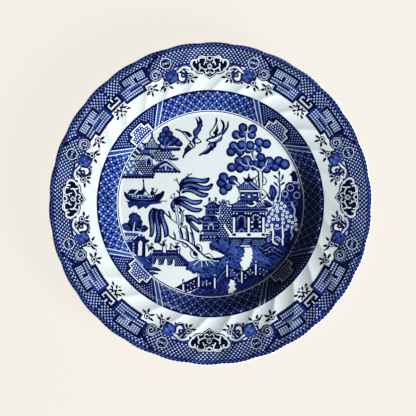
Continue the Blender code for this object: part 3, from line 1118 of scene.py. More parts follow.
def bars(film, boxes, ink, level):
    """Upright rectangles, each as x from, x to, y from, y to."""
    for x0, x1, y0, y1 in boxes:
        film.area([(x0, y0), (x1, y0), (x1, y1), (x0, y1)], ink, level)


def birds():
    """The two birds at the top, face to face."""
    film = Print(in_well)
    left_body = [
        (-13.9, 57.5), (-13.3, 59.2), (-11.8, 60.4), (-11, 61), (-10.4, 63), (-10.8, 65.5), (-11.4, 67.5),
        (-12.1, 69), (-11.2, 68.4), (-9.9, 66.6), (-9, 65.2), (-8.9, 66.8), (-9.2, 68.5), (-9.7, 69.8),
        (-8.7, 69.4), (-7.4, 67.8), (-6.5, 66), (-6.7, 64.2), (-6.3, 63), (-6.8, 61.6), (-7.6, 60.8),
        (-7.4, 59.5), (-8.5, 58), (-9.2, 57), (-9.8, 55.8), (-10.6, 54.8), (-10.2, 53), (-9.9, 52.3),
        (-8.6, 51.6), (-7.9, 50.6), (-7.3, 50.3), (-7.4, 49.3), (-8.4, 48.8), (-9.6, 48.5), (-10.3, 47.9),
        (-11, 48.5), (-12.6, 48.4), (-13.8, 49.1), (-14.6, 50), (-14.4, 51.5), (-13.2, 53), (-13, 54),
        (-13.6, 55.2),
    ]
    film.area(left_body, 0.92, 0)
    film.line(left_body, 0.3, 0.95, 0, closed=True)
    film.area([
        (-12.6, 58.5), (-11.3, 59.6), (-9.2, 61.2), (-8.3, 64.2), (-7.4, 63), (-8.2, 61), (-8.6, 59.4),
        (-10, 56.8), (-11.1, 54.8), (-11.5, 52.4), (-12.6, 50.6), (-12, 55), (-12.8, 57),
    ], 0.58, 1, smooth=True)
    film.area([
        (-12, 51.9), (-10.8, 51.9), (-9.2, 51.3), (-8.4, 50.3), (-9.2, 49.4), (-10.5, 49.2), (-11.8, 49.6),
        (-12.3, 50.6),
    ], WHITE_INK, 1, smooth=True)
    film.dots([(-10.1, 50.4)], 0.3, 0.4, 2)
    film.line([
        (-27.9, 59.6), (-25, 58.9), (-22.8, 57.5), (-20.8, 55.4), (-19.2, 53.3), (-17.8, 51.3), (-16.0, 50),
    ], [1.0, 1.3, 1.0, 0.7, 0.7, 0.75, 0.9], [1, 1, 0.95, 0.8, 0.75, 0.75, 0.9], 0)
    film.line([(-22.2, 58), (-18.4, 57), (-15.6, 54.8)], [0.8, 1.6, 1.4], 1.0, 0)
    film.area([
        (-22.8, 58.2), (-22, 58.6), (-20.2, 57.9), (-18.2, 57.6), (-17, 56.4), (-15.6, 56), (-15, 54.6),
        (-14.7, 53.6), (-15.6, 54), (-16.8, 52.9), (-18, 53.8), (-19.3, 55.3), (-21, 57),
    ], 1.0, 0)
    film.line([(-17.4, 54.9), (-16.2, 54.4)], 0.9, 0.75, 1)
    tail = [
        (-15.7, 50.2), (-17.3, 48), (-18.5, 46.5), (-19.4, 45.2), (-20.4, 44.4), (-20.7, 43.3), (-20.8, 41.5),
        (-21.6, 39.8), (-22.3, 37.8), (-22.2, 36.7), (-21.6, 36.7), (-21, 38.4), (-19.5, 40.3), (-17.5, 42),
        (-15.5, 43.6), (-13.2, 45), (-12.1, 46.3), (-12.3, 47.5), (-13, 48.6),
    ]
    film.area(tail, 0.95, 0)
    film.line(tail, 0.3, 0.95, 0, closed=True)
    film.lines([
        [(-15.2, 49.3), (-14.1, 47.9), (-13.2, 46.4)], [(-16.9, 47.6), (-15.6, 46), (-15.0, 45.3)],
    ], 0.85, 0.08, 1)
    film.line([(-19.0, 44.4), (-17.6, 43.7)], 1.1, 0.72, 1)

    film.line(
        [
            (4.7, 68.7), (4.9, 67), (4.6, 65), (3.6, 62.8), (2.3, 60.6), (0.8, 58.8), (-0.2, 57.2),
            (-0.4, 55.8), (0.4, 54.6), (1.6, 53.8),
        ],
        [1.2, 1.5, 1.5, 1.0, 0.75, 0.75, 0.75, 0.75, 0.8, 1.1],
        [0.95, 0.9, 0.7, 0.6, 0.75, 0.85, 0.8, 0.8, 0.85, 0.95], 0,
    )
    film.area([
        (5.5, 63.7), (6, 63.4), (5.8, 62), (6.2, 60.6), (6.3, 59.8), (6.9, 59.2), (6.3, 58), (5.8, 56.7),
        (5.2, 55.8), (4, 55.1), (3, 55.6), (2.1, 56.4), (2.4, 57.4), (3.4, 58.6), (4.2, 60), (4.8, 61.5),
        (5, 63),
    ], 1.0, 0)
    film.line([(8.6, 67), (10.4, 64.6), (10.8, 61.8), (9.4, 58.6)], [1.0, 1.5, 1.6, 1.4], 1.0, 0)
    film.line([(14.1, 65.8), (14, 62.6), (12.6, 59.4), (10, 56)], [0.9, 1.4, 1.4, 1.2], 0.95, 0)
    film.area([
        (8.0, 67.3), (8.6, 67.7), (9.6, 67.2), (10.6, 66), (11.2, 64.2), (11.4, 62.4), (11.2, 60.5), (10.4, 59),
        (9.4, 57.6), (8.1, 57.2), (9, 58.4), (9.8, 59.6), (9.9, 61.5), (9.6, 63.5), (9, 65.5),
    ], 1.0, 0)
    film.area([
        (13.7, 66.1), (14.2, 66.4), (14.7, 65.5), (14.7, 63), (14, 60.5), (12.5, 58), (11, 56), (9.8, 54.8),
        (9, 56.2), (10.5, 57.8), (12, 59.8), (13, 61.5), (13.3, 63.5),
    ], 0.95, 0)
    body = [
        (-2.9, 51.3), (-2.6, 51.7), (-1.4, 52.5), (-0.6, 53.3), (0.4, 53.1), (1.4, 54), (2.6, 54), (3.2, 54.6),
        (4.4, 55.4), (5.5, 55.8), (7, 56.4), (8.6, 57.3), (9.6, 57.2), (10.4, 56.4), (9.5, 54.6), (9.4, 53),
        (8.9, 51.4), (7.6, 50.2), (6.2, 49.6), (4.8, 48.6), (3.2, 49), (0.5, 49.1), (-1, 49.6), (-2, 50.1),
        (-3.2, 50.3),
    ]
    film.area(body, 0.85, 1)
    film.line(body, 0.3, 0.92, 1, closed=True)
    film.area([
        (-1.8, 51), (0.2, 51.8), (2.6, 52.3), (5, 53.5), (7.2, 54.7), (9.1, 55.6), (8.4, 54), (6.6, 52.4),
        (4.6, 51), (2.6, 50), (0.4, 49.8), (-1.2, 50.3),
    ], WHITE_INK, 2, smooth=True)
    film.area([(4.6, 51), (6.8, 52.3), (8.5, 54), (8.4, 52.2), (7, 50.7), (5, 49.9), (3.6, 50.3)], 0.48, 2)
    film.line([(5.2, 54.9), (8.6, 56.6), (11, 58.6), (12.4, 60.4)], 0.8, 0.55, 2)
    film.stamps([(-2.8, 50.7)], round_outline(0.8, 0.7), 1.0, 2)
    wing = [
        (-0.8, 48.9), (1.5, 49), (3.6, 49.2), (4.8, 48.4), (4.6, 46.8), (4, 45.3), (2.8, 44.8), (2.4, 43.6),
        (1.2, 42.8), (0, 42.4), (-0.8, 41.2), (-2, 40.4), (-3.2, 39.9), (-4.7, 39.5), (-5.8, 39.8), (-7, 39.3),
        (-8.6, 38.6), (-9.2, 39), (-8.2, 39.9), (-6.6, 40.9), (-5, 42.2), (-3.4, 43.8), (-2.2, 45.6),
        (-1.9, 47.3),
    ]
    film.area(wing, 0.97, 0)
    film.line(wing, 0.35, 0.97, 0, closed=True)
    film.line([
        (-1.0, 47.5), (-1.3, 46.1), (-2.6, 44.2), (-4.4, 42.3), (-5.8, 40.9),
    ], [0.6, 1.0, 0.8, 0.7, 0.4], [0.5, 0.08, 0.25, 0.35, 0.6], 1)
    film.lines([[(0.3, 48.2), (0.6, 46.7)], [(2.0, 47.9), (1.7, 46.6)]], 0.7, 0.4, 1)
    film.lay("print_birds", "cobalt_print", "centre_scene_print")


def boat():
    """The boat with its cabin, mast and boatman, and its reflection."""
    film = Print(in_well)
    water = [
        (-69, 1.8), (-66.7, 1.2), (-66.3, -0.5), (-66, -2.6), (-64.8, -3.6), (-63, -2.7), (-61.5, -1.7),
        (-59.3, -1.8), (-58.7, -3.4), (-57.9, -4.8), (-56.2, -3.8), (-53.5, -2.2), (-52.9, -3.6), (-52.2, -4.3),
        (-50.6, -2.8), (-48.3, -0.9), (-45, -0.4), (-42, 0), (-39.3, 0.3), (-39.2, 1.2), (-42, 2.3), (-60, 2.4),
    ]
    film.area(water, 0.72, 0)
    film.line([(-41, 2.1), (-35, 2)], 0.7, 0.5, 0)
    film.line([(-57, 1.5), (-52, 1.4)], 0.6, 0.5, 1)
    cabin = [(-66.5, 5.4), (-66, 8.8), (-50.4, 8.4), (-50.2, 4.4)]
    film.area(cabin, 0.7, 0)
    bars(film, [(-65.3, -62.0, 5.4, 7.8), (-58.8, -54.8, 4.2, 7.0)], 0.12, 1)
    film.area([(-54, 6.9), (-51.9, 9.8), (-50.3, 8.1), (-50.3, 5.9), (-53.6, 5.9)], WHITE_INK, 1)
    film.stamps([(-63.7, 6.5)], round_outline(1.0, 0.75), 1.0, 2)
    bars(film, [(-57.7, -55.5, 4.3, 6.3), (-50.6, -49.9, 4.4, 7.4)], 1.0, 2)
    film.lines([[(-61.2, 8.0), (-61.0, 5.4)], [(-60.2, 7.6), (-60, 5)]], 0.4, 0.2, 1)
    film.area([(-66.8, 8.4), (-63.8, 11.6), (-58.5, 11.3), (-60.9, 8.3)], 0.92, 2)
    film.area([(-60.3, 7.2), (-57.4, 10.8), (-51.8, 10.5), (-54.4, 7.3)], 0.94, 2)
    film.line([(-58.2, 11.2), (-60.8, 8.1)], 0.6, 0.08, 3)
    film.line([(-52.1, 10.4), (-50.2, 8.3), (-49.3, 6.9)], 0.6, 0.95, 2)
    film.line([(-53.2, 6.3), (-52.4, 7.0), (-51.6, 6.3)], 0.6, 0.6, 2)
    mast = [
        (-54.4, 19), (-53.8, 19.8), (-53.1, 19), (-53.2, 17.5), (-53, 15), (-52.5, 12.5), (-51.6, 10.6),
        (-55.3, 10.6), (-54.3, 12.5), (-53.9, 15), (-54.1, 17.5),
    ]
    film.area(mast, 0.95, 2)
    film.line([(-53.2, 13.5), (-53.0, 11.4)], 0.9, 0.7, 3)
    hull = [
        (-69.2, 9.4), (-68.7, 6.5), (-67.4, 4.3), (-65.3, 2.6), (-62, 2), (-55, 1.8), (-48, 1.7), (-42, 2.1),
        (-39.3, 4), (-37.8, 6.5), (-37, 9), (-37.6, 10.3), (-39.2, 9.3), (-41.5, 7.5), (-44.5, 5.9), (-48, 4.9),
        (-52, 4.4), (-58, 4.5), (-62.5, 5.4), (-65.8, 7.2), (-67.4, 8.5), (-68.7, 9.4),
    ]
    film.area(hull, 1.0, 2)
    film.line(hull, 0.2, 1.0, 2, closed=True)
    film.line([
        (-66.4, 6.3), (-63, 4.7), (-58, 3.7), (-52, 3.5), (-47, 3.8), (-43.2, 5.4),
    ], [0.3, 0.6, 0.7, 0.7, 0.7, 0.3], [0.6, 0.5, 0.42, 0.4, 0.42, 0.65], 3)
    film.line([(-44.6, 6.5), (-41, 8.0)], 0.6, 0.7, 3)
    film.area([
        (-48.3, 6.6), (-48, 9.2), (-47, 10.7), (-46, 10.6), (-45.2, 9), (-44.3, 8.9), (-44.1, 8), (-45.2, 7),
        (-46.2, 6.8),
    ], 1.0, 3)
    film.ring((-46.1, 11.4), 0.3, 0.85, 0.85, 3)
    film.line([(-47.2, 12.0), (-45.9, 12.3), (-45.1, 11.7)], 0.6, 0.75, 3)
    film.line([(-44.3, 8.8), (-42.5, 11.6)], 0.6, 0.8, 3)
    film.lines([
        [(-48.8, 6.6), (-48.2, 4.9)], [(-46.8, 6.7), (-46.2, 5.3)], [(-45.2, 6.7), (-44.9, 5.8)],
    ], 0.5, 0.9, 3)
    film.lay("print_boat", "cobalt_print")


def frond(film, outline, core, width, level=0, ink=0.95, core_ink=0.53):
    """A hanging spray of leaves: dark, with a paler middle that fades towards its root and is flecked."""
    film.area(outline, ink, level, smooth=True)
    film.line(outline, 0.12, ink, level, closed=True)
    fade = np.interp(np.linspace(0, 1, len(core)), (0, 0.25, 0.6, 1), (0.3, 0.05, -0.14, 0.1))
    film.line(core, 1.25 * width, core_ink + fade, level + 1)
    track = curve(core)
    side = np.array([(0.0, 0.22 * width), (0.0, -0.22 * width)])
    flecks = track[1:-1] + side[np.arange(len(track) - 2) % 2]
    film.stamps(flecks, round_outline(0.3, 0.24, 6), 0.2, level + 2)


def willow():
    """The leaning willow: its fronds, its trunks and its roots on the near bank."""
    film = Print(in_well)
    frond(
        film,
        [
            (-24.7, 16.4), (-22.7, 19.4), (-20, 20.9), (-17.5, 21.3), (-13, 21.1), (-8, 20.1), (-4, 20.4),
            (-1.2, 21), (-0.6, 20), (-1.2, 18.3), (-3, 16.6), (-6, 16.1), (-9.5, 16.6), (-13, 17), (-17, 17.3),
            (-20, 16.8), (-22, 15.8), (-24.3, 14.3),
        ],
        [(-21.5, 18.0), (-18, 18.9), (-14.5, 19.1), (-11, 18.9), (-7, 18.2), (-3.2, 18.9)], 1.5,
    )
    frond(
        film,
        [
            (-24.5, 13.6), (-22, 15.9), (-19, 17.2), (-15, 17.3), (-11, 16.5), (-8, 15.3), (-4.5, 14.3),
            (-1.5, 14.9), (0.5, 16.2), (2.2, 15.8), (1.8, 14), (0.5, 12), (-2, 10.5), (-5.5, 10.4), (-9, 11),
            (-12.5, 12.4), (-16, 13.2), (-19.5, 12.7), (-22.5, 11.2), (-24.4, 10.2),
        ],
        [(-22, 13.2), (-18.5, 14.9), (-15.5, 15.2), (-11, 14.1), (-7, 12.7), (-3, 12.5), (0.2, 13.7)], 1.35, 1,
    )
    frond(
        film,
        [
            (-22.9, 9.8), (-20, 11.6), (-17, 12.8), (-13, 12.6), (-10, 10.9), (-6.5, 9.4), (-3, 8.7),
            (-1.4, 7.9), (-2.2, 6.4), (-4, 5.1), (-7, 5), (-10, 6), (-13, 7.8), (-16, 9), (-19.5, 9.2),
            (-22.4, 8.2),
        ],
        [(-21, 10.4), (-18, 11.1), (-14.5, 10.5), (-11, 8.9), (-7, 7.1), (-3.8, 6.9)], 1.3,
    )
    frond(
        film,
        [
            (-28.2, 4.3), (-26, 5.7), (-23, 6.3), (-20, 5.7), (-17, 4.1), (-14, 3), (-10.5, 3), (-7.5, 3.2),
            (-6.2, 2.6), (-7, 0.9), (-9, -0.5), (-12, -1.1), (-15, -0.8), (-17.5, 0.2), (-20, 1.6), (-23, 2.2),
            (-26, 2),
        ],
        [(-24.5, 4.2), (-19, 3.3), (-15, 1.5), (-11.5, 1), (-8.3, 1.6)], 1.35,
    )
    frond(
        film,
        [
            (-27.5, 1.8), (-24, 2.4), (-20.5, 1.1), (-17.5, -0.8), (-14.5, -2.5), (-11, -3.3), (-8, -3.6),
            (-6.5, -4.2), (-7.2, -5.7), (-9.5, -7), (-13, -7), (-16.5, -6), (-19.5, -4.2), (-22.5, -2.4),
            (-25.5, -1.4), (-28.2, -0.8),
        ],
        [(-24.5, 0.4), (-20, -1.5), (-16, -3.7), (-12, -5), (-8.6, -5)], 1.3,
    )
    frond(
        film,
        [
            (-28.3, 4.4), (-30.6, 2.4), (-31.9, 0), (-32, -2.2), (-31, -4.6), (-29.8, -6.6), (-28.4, -6.9),
            (-27.6, -5.5), (-28, -3), (-28.3, -1.4), (-26.8, 0.4), (-25.5, 2),
        ],
        [(-29.6, 1.4), (-30, -0.6), (-29.4, -2.4)], 0.8,
    )
    film.stamps([(-29.0, -4.4)], round_outline(0.5, 0.8), 0.2, 2)
    frond(
        film,
        [
            (-20.8, -9.4), (-18.5, -8.8), (-15.5, -9), (-12.5, -10.3), (-10, -12.1), (-8, -13.8), (-6.6, -15.6),
            (-7.4, -16.5), (-9.5, -16.7), (-11.7, -15.4), (-14, -14.2), (-16, -14), (-18.5, -13),
            (-19.7, -11.3),
        ],
        [(-18, -10.6), (-15, -10.8), (-12.3, -12.8), (-9, -15)], 1.0, ink=0.88,
    )
    frond(
        film,
        [
            (-19.9, -12), (-18.5, -12.8), (-15.5, -14.4), (-13, -17), (-10.5, -19.5), (-8.8, -22),
            (-9.2, -23.3), (-11, -22.7), (-14, -20.3), (-16.6, -17.2), (-19.3, -14.4),
        ],
        [(-16.5, -15.2), (-13.5, -18.2), (-10.6, -21.4)], 0.9,
    )
    frond(
        film,
        [
            (-45.8, -3.1), (-48.5, -5.4), (-49.5, -8), (-49.7, -12), (-48.9, -17), (-48.6, -21), (-48.8, -25),
            (-49.3, -26), (-47.2, -26.8), (-46, -25.4), (-44.9, -21), (-44.9, -16), (-45.2, -12), (-45, -8),
            (-44, -4.6),
        ],
        [(-46.4, -5.6), (-47.6, -9.5), (-47.2, -14), (-46.7, -18), (-46.6, -21.5), (-47.5, -24.8)], 1.25,
    )
    frond(
        film,
        [
            (-44.6, -4.3), (-42.2, -4.2), (-41.2, -6), (-41, -10), (-40.3, -15), (-39.5, -20), (-39.3, -25),
            (-39.6, -29), (-41, -31.3), (-44.9, -31.2), (-44.6, -28.5), (-43.6, -25), (-43.7, -21),
            (-43.9, -18), (-44.7, -14), (-45, -10),
        ],
        [(-42.9, -5.8), (-43.3, -10), (-42.7, -15), (-41.6, -20), (-41.5, -25), (-42.8, -29.6)], 1.2, 1,
    )
    frond(
        film,
        [
            (-41.4, -4.6), (-38.5, -4.7), (-36.6, -6.6), (-37.4, -9), (-36.6, -12), (-35, -16), (-33.7, -20),
            (-33.3, -24.4), (-34.2, -26), (-37.1, -27.2), (-37.3, -25), (-37.9, -21), (-39.1, -17.5),
            (-40.5, -14), (-41.2, -10),
        ],
        [(-39.3, -6), (-39.5, -9), (-38.1, -13), (-36.8, -18), (-35.7, -22), (-35.7, -25.2)], 1.25,
    )

    dark = 0.95
    film.line([(-24.2, 15), (-24.4, 12), (-24.6, 9), (-24.8, 5.5)], 0.9, 0.9, 1)
    film.line([(-24.5, 14), (-25.8, 16.8), (-26.8, 18.9), (-27.0, 20)], [0.9, 0.7, 0.6, 1.0], dark, 0)
    film.lines([
        [(-26.6, 18.4), (-27.9, 18.8), (-29.2, 19.5)], [(-18.4, 21.3), (-20, 22.4)],
        [(-17.9, 22.5), (-18, 24.2)], [(-28.4, 4.5), (-29.3, 7.4)], [(-29.3, 7.2), (-30.2, 8.2)],
        [(-29.2, 7.2), (-28.6, 8.3)], [(-28.6, 3.6), (-31, 5), (-31.6, 6.6)], [(-30.6, 4.5), (-32.7, 4.6)],
    ], 0.6, 0.75, 0)
    film.line([(-19, 21), (-17.7, 22.5), (-16.4, 23.4), (-15, 24)], [1.1, 0.7, 0.6, 0.9], dark, 0)
    film.lines([
        [(-25, 8.4), (-26.9, 10.5)], [(-25, -6.7), (-23.8, -8.0)], [(-33.5, -6.3), (-32.8, -8), (-32.1, -10.4)],
    ], 1.0, dark, 0)
    film.line([(-28, -1.5), (-27.3, -6), (-26.6, -10), (-26.3, -13), (-25.4, -16.2)], 2.4, 0.88, 0)
    film.line([(-28, -1.5), (-27.3, -6), (-26.6, -10), (-26.3, -13), (-25.4, -16.2)], 1.2, 0.14, 1)
    film.line([
        (-25.4, -2.4), (-23.9, -5), (-22.8, -7.6), (-22.5, -11), (-22.7, -14), (-23, -16.7),
    ], [1.0, 1.8, 2.0, 2.0, 2.0, 1.8], [dark, 0.9, 0.9, 0.9, 0.95, 1], 0)
    film.line([(-23.2, -6.6), (-22.7, -9), (-22.5, -12), (-22.8, -15)], 0.9, 0.3, 1)
    film.lines([[(-21.1, -5), (-22.2, -7)]], 0.8, 0.6, 0)
    film.line([
        (-38, -6), (-35.5, -8.4), (-33.5, -10.2), (-31.5, -12.2), (-29, -14), (-26.5, -16), (-24, -17.4),
        (-21.8, -18.7),
    ], [1.2, 1.0, 1.2, 1.0, 1.4, 1.2, 1.3, 1.2], dark, 1)
    film.line([(-30.5, -13.0), (-28.5, -14.3), (-26.6, -15.9), (-24, -17.4), (-22.2, -18.4)], 0.5, 0.15, 2)
    film.stamps([(-32.2, -10.2)], round_outline(1.0, 1.0), 0.6, 1)
    film.ring((-24.6, -18.6), 0.8, 1.55, 0.8, 1)
    film.ring((-19.8, -18.9), 0.7, 1.6, 0.85, 1)
    film.line([(-24.3, -19.8), (-22.9, -24), (-22.2, -28.7)], [1.4, 1.5, 1.3], dark, 1)
    film.line([(-25.1, -21.6), (-24.2, -25), (-23.8, -29)], 0.9, 0.4, 1)
    film.line([(-19.2, -20.4), (-18.1, -24), (-17.5, -29.8)], [1.4, 1.5, 1.3], dark, 1)
    film.line([(-20, -22.8), (-19.3, -26), (-18.9, -30)], 0.9, 0.4, 1)
    film.line([
        (-16.2, -18.6), (-14.5, -23), (-13.9, -26), (-13, -30), (-12.6, -34),
    ], [0.7, 1.2, 1.1, 1.0, 1.0], dark, 1)
    film.line([(-15.6, -23.5), (-14.6, -28), (-14.4, -33.2)], 0.8, 0.45, 1)
    film.line([(-16.2, -23.3), (-15, -24.4)], 0.9, 0.8, 1)
    film.line([(-29.5, -22.8), (-28.7, -25.2), (-28.0, -27.6)], [0.8, 1.2, 1.0], 0.9, 1)
    film.line([(-34, -25), (-31, -27.4), (-28, -28.8)], [1.0, 1.1, 1.4], dark, 1)

    film.line([
        (-31, -27.4), (-26, -29.6), (-21.5, -31.2), (-17.5, -34), (-14, -37.5), (-11.3, -40.6), (-9, -44.4),
    ], [0.9, 1.0, 1.4, 1.5, 1.4, 1.3, 1.1], 1.0, 1)
    film.line([
        (-22, -28.3), (-18.5, -29.7), (-16, -31.6), (-13.5, -33.6), (-10.5, -36.9), (-7, -39.8), (-4, -42.6),
        (-0.5, -44.3),
    ], [0.7, 0.9, 1.0, 1.1, 1.2, 1.2, 1.1, 0.9], 1.0, 1)
    film.area([
        (-28.5, -28.3), (-22, -28.8), (-18, -30.6), (-14, -33.8), (-10.8, -37.6), (-7, -41), (-3.6, -43.8),
        (0.4, -45.2), (-4, -45.6), (-9.2, -46), (-9.6, -44.4), (-11.4, -40.3), (-14, -36.6), (-18, -32.8),
        (-22, -30.2), (-27, -29),
    ], WHITE_INK, 2)
    film.area([
        (-14, -38.3), (-12.5, -37.8), (-10.4, -40), (-10.2, -41.7), (-12, -42.2), (-13.8, -40.9),
    ], 1.0, 2, smooth=True)
    film.area([(-12, -34.8), (-10.2, -33.9), (-8.5, -35.2), (-8.5, -37.1), (-9.8, -37.2)], 1.0, 2, smooth=True)
    film.area([(-4.2, -42.5), (-2, -42.2), (0.2, -43.3), (0.4, -44.4), (-2, -44.2)], 1.0, 3, smooth=True)
    film.area([(-21.7, -31.3), (-19, -31.6), (-17.8, -33.8), (-20, -33.1)], 1.0, 2, smooth=True)
    for edge in (
        [(-15.3, -37.2), (-16, -40), (-14.9, -42.6), (-12.5, -43.8), (-10.2, -43.2)],
        [(-12, -33.7), (-9.6, -32.8), (-7.2, -34.2), (-6.7, -36.6), (-7.3, -38.6)],
        [(-4.7, -41.0), (-2.8, -40.4), (-1, -40.0), (0.7, -41.5), (2.2, -43.4)],
        [(-22.6, -31.8), (-21.7, -34), (-19.9, -34.9), (-18.3, -34.3)],
    ):
        film.line(edge, 0.55, 0.75, 2)
    film.area([(1.6, -44.2), (4, -43.4), (8.2, -43.2), (6.2, -44.9), (3.5, -45.4)], 0.95, 2, smooth=True)
    roots = [
        [(-9, -45.2), (-11, -47), (-13.2, -49.2)], [(-7, -45.4), (-7.0, -48), (-6.8, -50.6)],
        [(-4, -45.3), (-3.2, -47.6), (-2.3, -49.6)], [(-1.5, -45.2), (0.4, -47), (2.4, -48.6)],
        [(0, -44.8), (3, -46), (6.6, -46)],
    ]
    film.lines(roots, 0.55, 0.1, 3)
    film.lines([
        [(-12.6, -46), (-10.6, -45.3), (-8.8, -45.2)], [(-5.8, -46), (-5.2, -46.6)], [(-3, -46), (-1.6, -46.2)],
    ], 0.9, 1.0, 2)
    film.lay("print_willow", "cobalt_print")


def island():
    """The far island: a house and a pagoda among bushes, and a bushy tree."""
    film = Print(in_well)
    ground = [
        (-71.2, 22.3), (-70.4, 26), (-69.2, 29.5), (-67.6, 33), (-65.6, 36.5), (-63.7, 39.8), (-61, 36),
        (-60, 30), (-60, 22.3),
    ]
    film.area(ground, 0.52, 0)
    stones = [
        (-63.7, 36.5), (-62, 36.6), (-65.7, 33.3), (-61.8, 32.9), (-64.2, 31), (-67.3, 30), (-65.7, 27.7),
        (-62.1, 27.9), (-68.7, 25.4), (-63.7, 25.4),
    ]
    film.stamps(stones, leaf_outline(2.7, 2.5), 0.04, 1)
    film.stamps(stones, round_outline(0.3, 0.3, 5), 0.35, 2)
    house = [(-61, 22.3), (-61, 33.6), (-56, 35), (-46, 36), (-44.6, 30), (-44.3, 24.6), (-44.8, 22.3)]
    film.area(house, 0.93, 0)
    film.stamps(staggered(house, 2.0, 1.55, 0.5), round_outline(0.5, 0.5, 6), 0.16, 1)
    film.ring((-58.2, 31.4), 1.7, 2.4, 0.15, 2, start=60, end=260)
    film.line([(-57, 25.3), (-55, 23.5)], 0.9, 0.05, 2)
    film.area([(-71.3, 23.4), (-45.4, 23.4), (-45.2, 20.9), (-71.6, 20.9)], 0.9, 2)
    film.area([(-71, 23.3), (-46, 23.3), (-46, 22.7), (-71, 22.7)], 0.6, 3)
    scallops(film, -71.3, -45.2, 20.8, 2.57, 0.95, 2)
    film.dots([(-70.2, 23.1), (-67.8, 23.1)], 0.5, 0.1, 4)

    film.area([
        (-63.8, 39.6), (-60.3, 44.6), (-57.1, 47.4), (-55.2, 46), (-55.6, 41), (-57.6, 39), (-61, 35.9),
    ], 0.62, 1)
    film.lines([
        [(-62.6, 40.6), (-59.4, 38)], [(-60.4, 43.9), (-56.8, 40.4)], [(-57.9, 46.8), (-56.4, 45.0)],
    ], 0.8, 0.06, 2)
    film.lines([
        [(-61.5, 41.7), (-58.4, 39.2)], [(-58.9, 45), (-56.8, 42.9)], [(-62.3, 38.4), (-60.6, 36.8)],
    ], 0.9, 0.95, 2)
    roof = [
        (-61.6, 34), (-57.9, 39.7), (-48.2, 39.9), (-45.8, 36.6), (-46.6, 35), (-50, 38), (-52.2, 35.6),
        (-56, 35.6), (-59, 33.6),
    ]
    film.area(roof, 0.97, 2)
    film.lines([
        [(-61.1, 35), (-57.7, 38.8)], [(-59.1, 35.2), (-55.8, 38.7)], [(-56.7, 35.4), (-53.4, 38.8)],
        [(-54, 36.2), (-51.6, 38.8)], [(-52.7, 36), (-50.2, 38.4)],
    ], 0.5, 0.03, 3, smooth=False)
    film.line([(-52.2, 35.9), (-49.2, 37.9), (-46.6, 35.2)], 0.6, 0.04, 3, smooth=False)
    film.area([(-52.2, 35.4), (-49.3, 37.3), (-46.6, 34.8), (-46, 31.6), (-52.6, 31.6)], 0.62, 2)
    film.line([(-51.6, 31.4), (-51.4, 34.8), (-49.4, 36.5), (-47.6, 34.8), (-47.3, 31.4)], 0.7, 0.25, 3)
    film.area([(-50.7, 32), (-50.6, 35), (-49.5, 36.4), (-48.4, 35), (-48.2, 32)], 1.0, 3)
    film.area([
        (-46.5, 31.6), (-46.6, 34), (-45.4, 36.1), (-44, 34.4), (-43.5, 32.6), (-44.8, 31.7),
    ], WHITE_INK, 2)

    film.area([(-55.6, 39.8), (-55.2, 43.6), (-43.4, 43.6), (-42.8, 39.8)], 0.6, 1)
    film.lines([[(x, 43.2), (x, 40.4)] for x in (-54.7, -53.3, -51.9, -50.6, -49.3)], 0.45, 0.4, 2)
    film.lines([[(x, 43.2), (x, 40.4)] for x in (-47.9, -46.2, -44.6)], 0.7, 0.12, 2)
    film.lines([[(x, 43.2), (x, 40.4)] for x in (-47.0, -45.4, -43.8)], 0.7, 0.95, 2)
    film.line([(-58, 39.7), (-47.2, 39.9)], 1.0, 1.0, 3)
    pagoda = [
        (-55.2, 48.9), (-54.2, 46.6), (-52.8, 44.8), (-40, 44.8), (-39.2, 49), (-40.6, 47.5), (-42, 47.2),
        (-43.2, 48.1), (-44.5, 50.3), (-45.6, 52.4), (-46.1, 54), (-46.4, 57.4), (-47.2, 57.4), (-47.5, 54),
        (-48.2, 52.4), (-49.3, 50.3), (-50.9, 48.6), (-52.5, 48.2),
    ]
    film.area(pagoda, 0.8, 1)
    film.line(pagoda, 0.3, 0.95, 1, closed=True)
    film.line([(-46.8, 57), (-46.8, 53)], 0.5, 0.5, 2)
    stripes = (
        (-51.3, 47.5, 45.6), (-49.4, 49.4, 45.2), (-47.9, 51, 45.2), (-46.2, 51, 45.2), (-44.5, 49.2, 45.2),
        (-42.9, 47.4, 45.4),
    )
    film.lines([[(x, top), (x, low)] for x, top, low in stripes], 0.6, 0.18, 2)
    film.area([(-48.2, 50.2), (-47.9, 51.8), (-45.9, 51.8), (-45.6, 50.2)], 0.08, 2)
    film.line([(-54.6, 47.4), (-53, 45.6)], 0.8, 0.35, 2)
    film.line([(-55, 48.9), (-53.4, 48), (-51.6, 48.2)], 1.0, 1.0, 2)
    film.line([(-43.8, 48.6), (-42.2, 47.3), (-40.6, 47.4), (-39.6, 49)], 1.0, 1.0, 2)
    film.area([(-53.2, 43.2), (-53.2, 45), (-40, 45), (-40, 43.2)], 0.9, 3)
    film.line([(-40.4, 43.9), (-24.9, 43.9)], 2.1, 0.88, 3)
    film.line([(-39.5, 44.3), (-26, 44.3)], 0.7, 0.6, 4)
    scallops(film, -40, -25, 42.9, 2.6, 0.93, 3)
    bumps = staggered([(-34, 45), (-24.6, 45), (-24.6, 46.2), (-34, 46.2)], 2.2, 2.0)
    film.stamps(bumps, round_outline(0.7, 0.55, 6), 0.3, 1)

